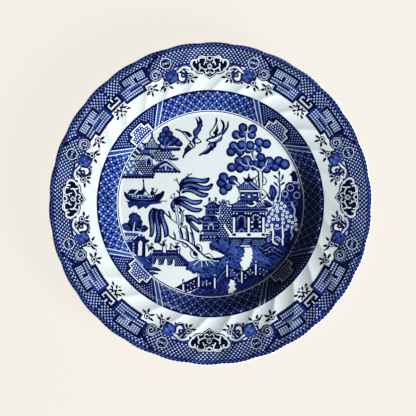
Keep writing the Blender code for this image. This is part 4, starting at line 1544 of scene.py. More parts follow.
    bush = [
        (-44.5, 43), (-38, 43.2), (-33, 42.4), (-31, 41.5), (-30.5, 39.7), (-28.7, 39), (-28.5, 37.7),
        (-30.5, 36.6), (-33, 36), (-36, 35.8), (-40, 34), (-43.2, 33.6), (-45.5, 35.5), (-46.7, 37.5),
        (-47, 40),
    ]
    film.area(bush, 0.88, 1, smooth=True)
    film.stamps(staggered(bush, 2.2, 1.75, 0.3), round_outline(0.62, 0.62, 6), 0.12, 2)
    film.line([(-33.6, 35.9), (-30, 35.4), (-26.6, 35.9)], [1.2, 1.7, 2.2], 0.92, 2)
    film.stamps([(-27.2, 36.1)], round_outline(1.1, 0.5), 0.5, 3)

    gable = [
        (-46.4, 25.2), (-46.4, 27.8), (-43.4, 31), (-38.6, 34), (-35.4, 35.9), (-33, 34.6), (-30.2, 32.4),
        (-27, 29), (-23.6, 25.6),
    ]
    film.area(gable, 0.93, 2)
    film.line([(-37.2, 35), (-35.4, 35.1), (-30.6, 31.6), (-26, 27.3)], 0.75, 0.05, 3)
    film.line([(-33.4, 34.7), (-29.6, 31.6), (-25.2, 27)], 0.4, 0.5, 3)
    film.line([(-44.5, 30.4), (-41.5, 32.4), (-38.2, 34.4)], 0.6, 0.35, 3)
    film.area([(-42.4, 27.6), (-36, 32), (-29.4, 27.6)], 0.7, 3)
    film.lines([
        [(-40.4, 29.6), (-36, 32.2), (-30.4, 28.6)], [(-35.9, 31.8), (-35.9, 27.2)],
    ], 0.8, 0.1, 4, smooth=False)
    film.line([(-45, 26.9), (-28.5, 26.9)], 0.7, 0.6, 3)
    film.dots([(-38.5, 27), (-33.9, 27), (-31, 27), (-41.6, 27)], 0.55, 0.2, 4)
    scallops(film, -46.4, -23.6, 25.3, 2.85, 0.95, 2)

    crown = [
        (-36.5, 61.5), (-35, 62.3), (-33.6, 61.4), (-32.8, 59.9), (-33, 58.6), (-31.5, 58.2), (-30.3, 57),
        (-30.3, 55.6), (-31.2, 54.2), (-30, 54.4), (-28.3, 53.6), (-27.3, 52.4), (-25.8, 52.5), (-24.7, 50.8),
        (-23.1, 49.4), (-22.4, 47.9), (-23.3, 46.3), (-25.5, 45.9), (-28.5, 46.7), (-31, 46.3), (-33.5, 46.3),
        (-35.5, 45.6), (-38, 46.8), (-39.7, 48.6), (-41.6, 50.4), (-42.5, 51.8), (-41.7, 53.4), (-40.6, 54.1),
        (-41, 55.6), (-39.8, 57.1), (-38.5, 57.6), (-38.7, 59.4), (-37.7, 60.8),
    ]
    film.area(crown, 0.84, 0, smooth=True)
    film.line(crown, 0.4, 0.95, 1, closed=True)
    heads = (
        (-35.9, 59.4, 2.7), (-38.4, 55.0, 2.9), (-32.8, 55.4, 2.7), (-39.3, 51.6, 2.6), (-35.2, 51.9, 2.9),
        (-29.4, 51.0, 2.8), (-25.6, 48.9, 2.6), (-31.4, 48.9, 2.3),
    )
    for x, y, radius in heads:
        film.stamps([(x, y)], round_outline(radius, radius, 16), 0.86, 1, middle_ink=0.5)
        film.stamps(
            [(x + 0.5, y + 0.7)], round_outline(0.5 * radius, 0.4 * radius, 10), 0.66, 2, middle_ink=0.42,
        )
    film.stamps([(-29.2, 49.1), (-26, 50.6), (-35.4, 57)], round_outline(0.7, 0.5), 0.92, 2)
    film.line([(-36.0, 53.5), (-36.7, 50), (-36.3, 45.6)], [0.4, 0.8, 1.0], 0.48, 2)
    film.line([(-31.8, 50), (-33.4, 47.8), (-34.8, 46)], [0.4, 0.8, 0.8], 0.3, 2)
    film.lay("print_island", "cobalt_print")


def gate():
    """The gate house at the left edge, with its round tree and its arched door."""
    film = Print(in_well)
    tree = [
        (-64.8, -12), (-65.5, -10.5), (-64.8, -9), (-63.7, -7.9), (-62.8, -7.8), (-62, -6.6), (-61.2, -7.7),
        (-59.6, -7.3), (-58.6, -8.4), (-57.4, -9.3), (-56.1, -10.2), (-56.2, -11.6), (-55.4, -13),
        (-56.4, -14.2), (-56, -15.6), (-57.4, -17.2), (-59.5, -19), (-60.6, -16), (-61.6, -15), (-62.6, -18.6),
        (-64.4, -16.5), (-65.8, -14.8), (-64.9, -13.5),
    ]
    film.area(tree, 0.8, 1)
    film.line(tree, 0.3, 0.96, 1, closed=True)
    for turn in range(15, 180, 22):
        c, q = math.cos(math.radians(turn)), math.sin(math.radians(turn))
        film.line([
            (-60.4 + 1.6 * c, -13.4 + 1.6 * q), (-60.4 + 4.4 * c, -13.2 + 4.6 * q),
        ], [0.3, 0.8], [0.5, 0.62], 2)
        film.stamps([(-60.4 + 4.5 * c, -13.0 + 4.7 * q)], round_outline(0.35, 0.35, 6), 0.97, 3)
    film.area([
        (-65.3, -13), (-55.3, -13), (-55, -17.4), (-57, -20.5), (-61, -21.4), (-65, -20.3),
    ], 0.78, 0, smooth=True)
    film.lines([
        [(-62.5, -10), (-61.6, -13.2)], [(-60.4, -9.4), (-60.6, -12.4)], [(-58.4, -11.4), (-59.8, -14)],
        [(-63.4, -12.6), (-62.2, -15)],
    ], 0.45, 0.55, 2)
    film.area([
        (-71.2, -17), (-69.5, -15.7), (-67, -15.1), (-65, -15.3), (-63, -18), (-62, -22), (-65, -22.3),
        (-68.5, -21.4), (-70.5, -19.6),
    ], 0.68, 0, smooth=True)
    film.area([
        (-61, -19.5), (-57.5, -18.3), (-55, -17.6), (-52.5, -17), (-50.6, -18.4), (-49.9, -20), (-51.6, -21.9),
        (-54, -23), (-57, -22.2), (-61, -22),
    ], 0.8, 0, smooth=True)
    film.stamps([
        (-67.5, -17.6), (-65.5, -19.4), (-69, -19.3), (-54.6, -19.2), (-56.5, -20.6),
    ], round_outline(1.5, 0.9), 0.68, 1, middle_ink=0.42)
    film.lines([
        [(-70.4, -20.4), (-67.4, -19.2), (-64.2, -20)], [(-57.6, -19.6), (-54.6, -20.8), (-51.4, -19.6)],
        [(-68.6, -17.4), (-66.2, -16.4)],
    ], 0.45, 0.95, 2)
    film.stamps([(-66.9, -19.5), (-64.6, -17.4)], round_outline(0.5, 0.5), 0.95, 2)
    film.line([(-60.5, -14.2), (-61.3, -17.5), (-61.6, -20.5), (-62, -23)], [0.4, 0.7, 0.9, 1.4], 0.1, 3)
    film.stamps([(-60.5, -14.0)], round_outline(0.6, 0.6), 1.0, 3)
    film.line([(-59, -19.6), (-57, -20.9), (-55.4, -21.4)], 0.4, 0.3, 2)
    film.line([(-70.2, -21.6), (-67, -22.6), (-63.4, -22.6)], [1.3, 0.8, 0.7], WHITE_INK, 2)
    film.area([(-69.6, -23.0), (-57.5, -23.6), (-57.5, -25.2), (-68.6, -25.0)], 0.62, 1)
    film.line([(-60.2, -23.1), (-57, -23.2)], 0.9, 0.05, 2)
    film.area([(-68.6, -25.1), (-58.6, -25.1), (-60.4, -28.6), (-63, -29.2), (-67.2, -29.2)], 0.72, 1)
    slants = [
        [(-67.6, -27.1), (-66.3, -25.9)], [(-66.9, -28.5), (-64.2, -25.9)], [(-64.5, -28.7), (-61.9, -26.1)],
        [(-61.4, -28.1), (-59.3, -26.2)],
    ]
    film.lines(slants, 0.8, 0.1, 2)
    mass = [
        (-63.4, -29), (-61.5, -28.4), (-59, -25.8), (-57.5, -25), (-53.2, -25), (-52.5, -27), (-51.4, -28.6),
        (-49.1, -28.8), (-48.9, -29.6), (-49.8, -30.8), (-51.4, -31.7), (-52.1, -32.4), (-52.1, -42.9),
        (-54.8, -42.6), (-58, -42.2), (-59.5, -41.6), (-62, -39.4), (-64.2, -37), (-66.4, -33), (-67.4, -30.6),
        (-62.5, -30.6),
    ]
    film.area(mass, 0.95, 1)
    film.line([(-67, -29.8), (-62.7, -29.9)], 1.0, 0.48, 2)
    film.area([
        (-58.2, -41.6), (-57.9, -36), (-57.7, -31.5), (-57, -30.1), (-56.2, -29.7), (-55.3, -30.1),
        (-54.8, -31.4), (-55, -36), (-55.3, -41.6),
    ], WHITE_INK, 2)
    for y, half in ((-32.4, 1.3), (-34.9, 0.7), (-36.9, 0.7), (-38.8, 0.5)):
        film.stamps([(-61.8, y)], round_outline(0.7, half), 0.3, 2)
    film.stamps([(-55.5, -25.2)], round_outline(2.5, 1.1, 12), 0.1, 2)
    film.stamps([(-55.5, -25.4)], round_outline(0.9, 1.0), 1.0, 3)
    film.stamps([(-56.2, -28), (-54, -29), (-59.6, -30.5)], round_outline(1.6, 0.6), 0.8, 2)
    bank = [
        (-60.8, -42), (-57.5, -41.6), (-54.8, -42.4), (-52, -42.8), (-51, -45), (-49.4, -46.3), (-47.3, -47.6),
        (-46.1, -49.6), (-48, -50.3), (-51, -50), (-53.8, -50), (-57, -46.6),
    ]
    film.area(bank, 0.62, 0)
    film.lines([[(-58, -43), (-54, -45.6), (-50, -49)], [(-56, -42.6), (-52, -45.6), (-48, -49)]], 0.6, 0.75, 1)
    film.area([
        (-54, -50), (-51, -49.8), (-46, -50.4), (-43, -51.1), (-39.4, -53), (-40, -54.2), (-43, -54.2),
        (-47, -53.7), (-49.4, -54),
    ], 0.85, 0)
    film.area([(-50, -54.2), (-46, -54.3), (-42, -55.7), (-41.8, -56.7), (-45, -56.8), (-47.2, -56.8)], 0.9, 0)
    film.line([(-52, -51), (-48.5, -51.3), (-45, -51.9)], 0.5, 0.5, 1)
    film.line([(-48.6, -54.9), (-44, -55.6)], 0.4, 0.6, 1)
    film.line([(-53.5, -50.6), (-50, -54), (-46.4, -57)], 1.0, 0.97, 1)
    film.lay("print_gate", "cobalt_print")


def small_pagoda():
    """The two-storey summer house beside the willow."""
    film = Print(in_well)
    roof = [
        (-5.8, -2), (-3.4, -1.4), (-1.6, 0.2), (-0.8, 0.9), (4.4, 0.9), (5.6, -0.2), (7.6, -1), (7.8, -2.4),
        (7, -3.6), (-3.4, -3.8), (-4.4, -3),
    ]
    film.area(roof, 0.9, 1)
    film.lines([
        [(-2.6, -2.4), (-0.6, -0.8), (1.2, -2.6)], [(0.4, -1.2), (2.2, -0.4), (4.2, -2.4)],
        [(-1.6, -2.8), (-0.4, -1.8)],
    ], 0.5, 0.5, 2)
    film.line([(3, 0.6), (4.6, -1), (6.8, -2.4)], 1.0, 1.0, 3)
    film.line([(-5.5, -1.9), (-3, -1.5), (-1, 0.6)], 0.6, 1.0, 2)
    film.area([
        (-1.4, 3), (-0.9, 0.8), (4.3, 0.8), (4.9, 3.2), (3.2, 2.2), (1.8, 1.5), (0.4, 2.2),
    ], WHITE_INK, 1)
    film.lines([
        [(-1.3, 3), (-0.9, 1), (4.4, 1), (4.9, 3.2)], [(-1.2, 2.9), (1.8, 1.4), (4.8, 3.1)],
    ], 0.55, 0.8, 2, smooth=False)
    film.stamps([(-0.7, 3.9), (4.4, 4.1)], round_outline(0.95, 1.2), 1.0, 3)
    bars(film, [(-3.7, 7.2, -9.2, -3.6)], 0.7, 1)
    film.lines([[(-3.8, -4.2), (7.4, -4.2)], [(-3.6, -9.0), (5, -9.0)]], 0.4, 0.4, 2)
    film.lines([
        [(-3.8, -5), (7.4, -5)], [(-3.7, -5.2), (-3.8, -9)], [(0.6, -5.3), (0.6, -8.7)],
        [(4.8, -5.3), (4.9, -8.7)],
    ], 0.4, 0.97, 2)
    film.stamps([(-1.6, -6.9), (2.7, -6.9)], round_outline(0.9, 1.25), 1.0, 3)
    film.lines([
        [(-2.9, -5.8), (-2.9, -8.2)], [(-0.3, -5.8), (-0.3, -8.2)], [(1.4, -5.8), (1.4, -8.2)],
        [(4.0, -5.8), (4.0, -8.2)],
    ], 0.2, 0.38, 3)
    film.stamps([(6, -7.3)], round_outline(1.1, 0.5), 0.12, 3)
    eaves = [
        (-9.6, -11.4), (-7.5, -11.4), (-5.6, -9.9), (-4, -9.4), (3.5, -9.4), (5.4, -10.6), (6.4, -12.2),
        (6.2, -14.2), (-7, -14.2), (-8, -13.1), (-9.4, -12.4),
    ]
    film.area(eaves, 0.92, 1)
    film.area([(-5.6, -12.6), (-3.4, -10.8), (-1, -11.4), (0.4, -13.2), (-4.6, -13.5)], 0.74, 2, smooth=True)
    film.lines([
        [(-5.4, -12.4), (-3.4, -10.9), (-1.2, -11.4), (0.2, -12.9)], [(-3.9, -12.6), (-2.6, -11.7)],
        [(2.6, -13.2), (4.2, -12), (5.6, -12.8)],
    ], 0.4, 0.42, 3)
    film.line([(-1.6, -9.7), (0, -11.4), (2.2, -12), (3.6, -12.8)], [0.7, 1.2, 1.1, 0.8], 1.0, 3)
    film.line([(-9.3, -11.7), (-7.4, -11.9), (-6.4, -13.4)], [1.2, 0.7, 0.6], 1.0, 2)
    bars(film, [(-6.4, 6.4, -22.4, -14.2)], 0.8, 0)
    film.line([(-6.4, -14.8), (5.6, -14.8)], 0.5, 0.35, 2)
    bars(
        film,
        [
            (-5, -2.3, -16.6, -15.4), (3.2, 5.8, -16.6, -15.4), (-5, -2.4, -20.2, -18.2),
            (-0.2, 1.2, -20, -17.8), (3.6, 6, -20.2, -18.2),
        ],
        1.0, 2,
    )
    bars(
        film,
        [
            (-5.2, -2.4, -17.9, -17.0), (3.4, 6.0, -17.9, -17.0), (-5.2, -2.5, -21, -20.5),
            (3.4, 6.2, -21, -20.5),
        ],
        0.4, 2,
    )
    bars(film, [(-1.2, 2.2, -16.7, -15.9), (-1.9, -1.2, -21, -17.4), (1.9, 2.5, -21, -17.4)], 0.12, 2)
    film.line([(-0.6, -17.6), (0.5, -16.9), (1.6, -17.6)], 0.4, 0.2, 3)
    bars(film, [(-7.4, 6.4, -22.4, -21.2)], 1.0, 2)
    bars(film, [(-8.9, 7, -30.4, -22.2)], 0.93, 0)
    bars(film, [(-5.8, 6.4, -23.9, -22.8), (-5.8, 6.4, -25.3, -24.7)], 0.42, 1)
    film.stamps([(-6.5, -23.6)], round_outline(0.9, 0.9), WHITE_INK, 1)
    film.stamps([(-8.6, -23.8)], round_outline(0.8, 0.9), WHITE_INK, 2)
    film.stamps([(-6, -26.8), (-3.2, -26.7), (0.2, -26.7), (3.2, -26.7)], round_outline(1.0, 0.4), 0.14, 1)
    rhombs = staggered([(-7.4, -30), (6, -30), (6, -27.4), (-7.4, -27.4)], 2.2, 1.1, 0.3)
    film.stamps(rhombs, leaf_outline(0.9, 1.4), 0.36, 1)
    film.lay("print_small_pagoda", "cobalt_print")


def shrubs():
    """The flecked shrubs between the summer house and the tea house."""
    film = Print(in_well)
    shrub = [
        (6.2, 2.6), (8.2, 1.6), (9.4, 3.4), (11.5, 3.4), (12.4, 1), (13, -0.6), (16, -1.6), (18, -3),
        (17.6, -8), (18, -11), (18, -26), (15.4, -27.4), (11, -27.2), (7, -28), (6, -24), (6.4, -14), (7.6, -8),
        (8, -3), (7, -1),
    ]
    film.area(shrub, 0.85, 0)
    flecks = staggered(shrub, 2.15, 1.6, 0.2)
    flecks = flecks + rng.uniform(-0.25, 0.25, flecks.shape)
    film.stamps(flecks, round_outline(0.55, 0.55, 6), 0.22, 1, middle_ink=0.1)
    film.ring((10.5, 2.0), 0.5, 1.2, 0.8, 2)
    film.dots([(10.5, 2.0)], 0.5, 0.3, 2)
    film.dots([(9.2, -9.4)], 0.6, 0.05, 2)
    film.dots([(9.4, -11.4), (12.2, -14.2), (7.2, -10.9)], 0.6, 1.0, 2)
    film.line([(11.1, -16.6), (12.4, -19.6), (14.4, -22.2), (16.4, -25.4)], [0.9, 1.3, 1.5, 1.6], WHITE_INK, 3)
    film.line([(12.8, -17), (14.8, -20.4), (17, -23.2)], 0.8, 0.95, 3)
    film.lay("print_shrubs", "cobalt_print")


def tea_house():
    """The large tea house on its stepped terrace."""
    film = Print(in_well)
    star = [
        (30.9, 25), (31.4, 23), (31.6, 21.5), (32.8, 20.1), (34, 20.5), (35.7, 21.5), (34.9, 19.6),
        (34.6, 18.2), (34.2, 17.4), (27.6, 17.4), (27.2, 18.4), (26.9, 19.8), (25.7, 21.5), (27.6, 20.9),
        (28.9, 20), (30.2, 21.4), (30.5, 23),
    ]
    film.area(star, 1.0, 2)
    roof = [
        (20.3, 14.6), (22.5, 14.2), (24.3, 15.4), (26, 17), (28, 17.9), (34, 17.9), (36.5, 16.3), (38.8, 13.8),
        (41, 11.6), (41.2, 10.9), (22.9, 10.9), (21.5, 12.5),
    ]
    film.area(roof, 0.85, 1)
    ribs = (
        (22.8, 13.2, 12), (24.3, 14.8, 11.8), (25.8, 16.2, 11.8), (27.3, 15.4, 11.8), (28.8, 14.6, 11.8),
        (30.3, 16.8, 11.8), (31.8, 15.8, 11.8), (33.3, 14.2, 11.8), (34.8, 12.8, 11.8),
    )
    film.lines([[(x, top), (x, low)] for x, top, low in ribs], 0.5, 0.36, 2)
    film.line([(32.2, 17.2), (36.6, 13.4), (40.6, 11)], 0.7, 0.2, 2)
    film.line([(31, 16.4), (33.4, 14), (36, 12)], 0.7, 0.97, 2)
    film.line([(34, 17.6), (37.6, 14.8), (41, 11.6)], 0.4, 0.4, 3)
    film.stamps([(28.6, 16.4)], round_outline(1.2, 1.0), 0.2, 3)
    bars(film, [(22.4, 41.2, 9.2, 11.2)], 0.97, 1)
    bars(film, [(23.2, 41, 9.7, 10.7)], WHITE_INK, 2)
    bars(film, [(22.8, 39.6, 5, 9.3)], 0.55, 1)
    bars(film, [(28.8, 33.2, 5, 9.2), (23.9, 24.5, 5, 9.2), (37.4, 38.0, 5, 9.2)], 0.97, 2)
    film.stamps([(26, 8.3), (35.7, 8.3)], round_outline(2.0, 0.75, 10), 1.0, 2)
    film.stamps([(26, 5.4), (35.7, 5.4)], round_outline(1.5, 0.6, 10), 1.0, 2)
    film.stamps([(26, 6.9), (35.7, 6.9)], round_outline(1.3, 0.55, 10), 0.03, 2)
    bars(film, [(23, 23.7, 5.2, 8.8), (38.3, 39.1, 5.2, 8.8)], 0.1, 3)
    bars(film, [(29.4, 29.7, 5.3, 9), (32.4, 32.7, 5.3, 9), (30.8, 31.1, 7.4, 9)], 0.4, 3)
    film.area([(29.9, 5), (31, 7.4), (32.2, 5)], WHITE_INK, 3)
    bars(film, [(21.8, 41, 1.9, 5)], 0.93, 0)
    bars(film, [(22.4, 40.4, 2.8, 4.7)], 0.6, 2)
    film.stamps([(23.1, 3.7), (39.6, 3.5)], round_outline(0.8, 0.85), WHITE_INK, 3)
    lower = [
        (13.2, 0.2), (17, -0.3), (19.5, 0.4), (21.5, 1.8), (22.8, 2.5), (39.5, 2.5), (42.5, 1), (45.5, -0.8),
        (48.7, -2.5), (47.4, -3.2), (17.4, -3.2), (16.2, -1.8),
    ]
    film.area(lower, 0.93, 1)
    film.lines([
        [(x, top), (x, -1.4)]
        for x, top in (
            (19.5, -0.8), (20.9, 0.4), (22.3, 1.2), (23.7, 1.6), (25.1, 1.4), (26.5, 1.2), (27.9, 0.2),
        )
    ], 0.6, 0.42, 2)
    film.dots([(x, -1.7) for x in (18.6, 20.2, 21.8, 23.4, 25, 26.6, 28.2)], 0.42, 0.2, 3)
    film.lines([
        [(x, y), (x + 2.6, y - 3)]
        for x, y in ((37.2, 0.9), (38.9, 1.3), (40.7, 1.4), (36, -0.2))
    ], 0.55, 0.2, 2)
    film.lines([[(27.5, 1.9), (30, 0), (31.5, -1.2)], [(30.6, 2.0), (32.6, 0.6)]], 0.4, 0.5, 2)
    film.line([
        (29.4, -0.9), (32, -1.9), (34.6, -1.5), (36.2, 0.0), (35.8, 1.2), (34.8, 1.5),
    ], [0.6, 0.9, 1.1, 1.3, 1.3, 1.0], WHITE_INK, 3)
    film.stamps([(34.2, 0.2)], round_outline(0.6, 0.6), 1.0, 3)
    film.line([(13.3, 0.4), (13.2, 1.9), (14.4, 2.3), (15.1, 1.2), (14.8, -0.4)], 0.8, 0.97, 2)
    film.line([(13.6, -0.6), (14.6, -1.6), (16.4, -1.9)], 0.9, 0.05, 2)
    film.stamps([(13.9, 0.7)], round_outline(0.55, 1.1), WHITE_INK, 3)
    film.area([(42.4, 2.5), (45, 2.8), (48, 1), (49.9, -1.6), (48.4, -2.8), (45, -1.1)], 0.82, 1, smooth=True)
    film.lines([[(43.8, 2), (46.6, -0.6)], [(45.8, 1.8), (48.2, -1.2)]], 0.35, 0.55, 2)
    film.line([(49.3, 1.4), (49.6, -0.4)], 0.9, 0.04, 2)
    bars(film, [(16.8, 46.2, -6.8, -3.1)], 0.85, 1)
    bars(film, [(17.6, 45.4, -5.6, -4.2)], 1.0, 3)
    film.lines([[(18, -3.7), (45.2, -3.7)], [(18, -6.2), (45.2, -6.2)]], 0.7, 0.42, 2)
    film.stamps([(45.3, -4.0)], round_outline(0.5, 0.6), 0.12, 3)
    wall = [(17.6, -6.8), (44.4, -6.8), (44.4, -23.4), (17.6, -23.4)]
    film.area(wall, 0.88, 0)
    rhombs = [(18.8, -7.7), (21.3, -7.8), (28.1, -7.5), (30.5, -7.8), (32.5, -7.7), (40.2, -7.6), (42.5, -7.8)]
    film.stamps(rhombs, leaf_outline(1.4, 1.4, 20), 0.08, 3)
    film.line([(19.6, -10), (21.8, -8.4), (24.8, -7.3), (27.6, -8.4), (29.6, -10)], 1.3, 1.0, 2)
    film.line([(31.8, -10), (34.2, -8.2), (37, -7.3), (39.6, -8.4), (41.4, -10)], 1.3, 1.0, 2)
    bars(film, [(17.7, 20.3, -10.9, -8.8), (29.2, 31.7, -10.9, -8.8), (40.8, 43.9, -10.9, -8.8)], 1.0, 3)
    bars(film, [(21, 28.7, -19.6, -12.2)], 0.78, 1)
    film.line([(21.5, -13.2), (22.4, -10.8), (24.8, -9.7), (27.2, -10.8), (28, -13.2)], 0.8, 0.3, 3)
    film.line([(22.9, -18.8), (22.9, -13.4), (24.8, -11.6), (26.4, -13.2), (26.4, -18.8)], 0.9, 0.95, 2)
    film.dots([(21.8, -17), (21.8, -15), (22, -13.4), (23.2, -11.4)], 0.42, 0.3, 3)
    film.area([(23.3, -19), (23.3, -13.6), (24.7, -12.3), (26.2, -13.6), (26.2, -19)], 1.0, 3)
    film.line([(27.6, -12.4), (27.7, -18.6)], 1.5, 0.35, 2)
    film.dots([(27.6, -13), (27.6, -15), (27.6, -17), (27.6, -18.8), (25.2, -10.8)], 0.45, 0.8, 3)
    film.area([(35.1, -19.5), (35.1, -13.6), (36.6, -12.1), (38.2, -13.6), (38.2, -19.5)], 1.0, 3)
    film.dots([
        (33.8, -11.2), (34.7, -9.6), (36.3, -8.9), (38, -9.4), (39.5, -10.9), (38.3, -12.5), (34.6, -12.7),
    ], 0.62, 0.1, 3)
    film.stamps(
        [(33.4, -14.7), (33.5, -18.4), (39.6, -14.7), (39.7, -18.3)], round_outline(0.95, 0.75), 0.03, 3,
    )
    film.stamps([(33.5, -12.8), (39.6, -12.8), (33.6, -16.5), (39.7, -16.5)], round_outline(0.9, 0.8), 1.0, 3)
    film.area([(32.8, -19.6), (32.8, -8.6), (40.6, -8.6), (40.6, -19.6)], 0.8, 1)
    film.line([(23, -22.6), (23.4, -21.2), (25, -20.5), (26.4, -21.2), (26.8, -22.6)], 0.9, 0.3, 2)
    film.line([(34.6, -22.8), (35, -21.4), (36.4, -20.8), (37.8, -21.4), (38.2, -22.8)], 0.9, 0.3, 2)
    film.dots([(21.6, -21.4), (28.2, -21.6), (33, -21.6), (39.8, -21.4)], 0.5, 0.4, 2)
    bars(film, [(18.1, 19.7, -23.6, -11), (29.9, 31.5, -23.6, -11), (41.7, 43.3, -23.6, -11)], WHITE_INK, 3)
    film.area([
        (16.6, -24), (20.4, -23.1), (41, -23.1), (44.2, -23.1), (48.6, -23.4), (46, -25), (44.4, -27),
        (15, -27), (14.8, -25.4),
    ], WHITE_INK, 2)
    film.stamps([(19, -24.9), (30.9, -24.9), (42.5, -24.9)], round_outline(1.75, 1.1, 12), 1.0, 4)
    bars(film, [(14.9, 44.6, -33.2, -27)], 0.9, 1)
    bars(film, [(14.9, 44.6, -27.8, -26.9), (14.9, 16.4, -33, -27)], 0.98, 2)
    for x0, x1 in ((16.8, 25), (33.8, 44)):
        nets = staggered([(x0, -32.6), (x1, -32.6), (x1, -28), (x0, -28)], 2.1, 1.5, 0.2)
        film.stamps(nets, round_outline(0.8, 0.62), 0.3, 2, middle_ink=0.3)
        film.dots(nets, 0.42, 0.93, 3)
    film.area([(27.4, -27.9), (33.4, -27.9), (30.6, -33.4), (24, -33.4)], 0.7, 3)
    film.lines([
        [(27, -29), (32.6, -29)], [(26.2, -30.4), (32, -30.4)], [(25.4, -31.8), (31.2, -31.8)],
    ], 0.4, 0.3, 4)
    film.lines([[(27, -28), (23.6, -33.4)], [(33.6, -28), (30.4, -33)]], 0.8, 1.0, 4)
    film.line([(24.6, -33.8), (30.8, -33.8)], 0.9, 0.05, 4)
    film.line([(24.6, -34.8), (31.8, -34.8)], 0.7, 1.0, 4)
    film.lay("print_tea_house", "cobalt_print")


DISCS = (
    # x, y, radius; those drawn later lie over those drawn before
    (33.2, 55.2, 3.6), (26.1, 61.1, 3.8), (33.9, 60.1, 3.8), (20.9, 55.3, 3.9), (25.3, 55.5, 2.9),
    (16.5, 41.6, 3.9), (18.6, 46.4, 3.9), (23.9, 41.6, 3.6), (25, 47.3, 3.7), (30.2, 43.2, 3.1),
    (31.8, 46.8, 3.8), (39.3, 49.2, 3.9), (44.9, 48.0, 3.9), (38.6, 43.4, 2.7), (23.7, 28.3, 3.7),
    (28.8, 29.3, 3.2), (34.5, 28.6, 2.2), (17, 29.2, 3.9), (23.1, 34.2, 4.0), (29.4, 35, 4.1),
    (33.8, 32.4, 2.7), (37.4, 31.6, 3.9), (41.6, 31.5, 4.0), (40.4, 37.2, 3.8), (45.1, 27.7, 3.6),
    (51.9, 29.4, 3.7), (47, 33.9, 4.1), (59.4, 31.6, 4.5), (54.8, 34, 4.2), (10.5, 10.4, 3.7),
    (14.2, 13.6, 3.7), (8.7, 16.6, 4.0), (10.5, 21.2, 4.1), (18.1, 18.9, 3.9),
)


def leaf_disc(film, x, y, radius, level):
    """A round head of foliage: pale where the light falls, and dark round its edge."""
    steps = 24
    turn = np.radians(np.arange(steps) * 360 / steps)
    unit = np.column_stack([np.cos(turn), np.sin(turn)])
    shade = 0.16 * rng.random() - 0.04
    low = np.clip(-(unit @ (0.5, 0.85)), 0, 1)
    rings, inks = [np.array([[x + 0.24 * radius, y + 0.2 * radius]])], [np.array([0.34 + shade])]
    for share, ink, deeper in ((0.4, 0.46, 0.1), (0.66, 0.64, 0.2), (0.82, 0.86, 0.12), (1.0, 1.0, 0.0)):
        rings.append((x, y) + unit * radius * share)
        inks.append(ink + shade + deeper * low)
    points = np.vstack(rings)
    triangles = [(0, 1 + i, 1 + (i + 1) % steps) for i in range(steps)]
    for k in range(3):
        a, b = 1 + k * steps, 1 + (k + 1) * steps
        for i in range(steps):
            j = (i + 1) % steps
            triangles += [(a + i, b + i, b + j), (a + i, b + j, a + j)]
    film.add(points, triangles, np.clip(np.concatenate(inks), 0, 1), level)


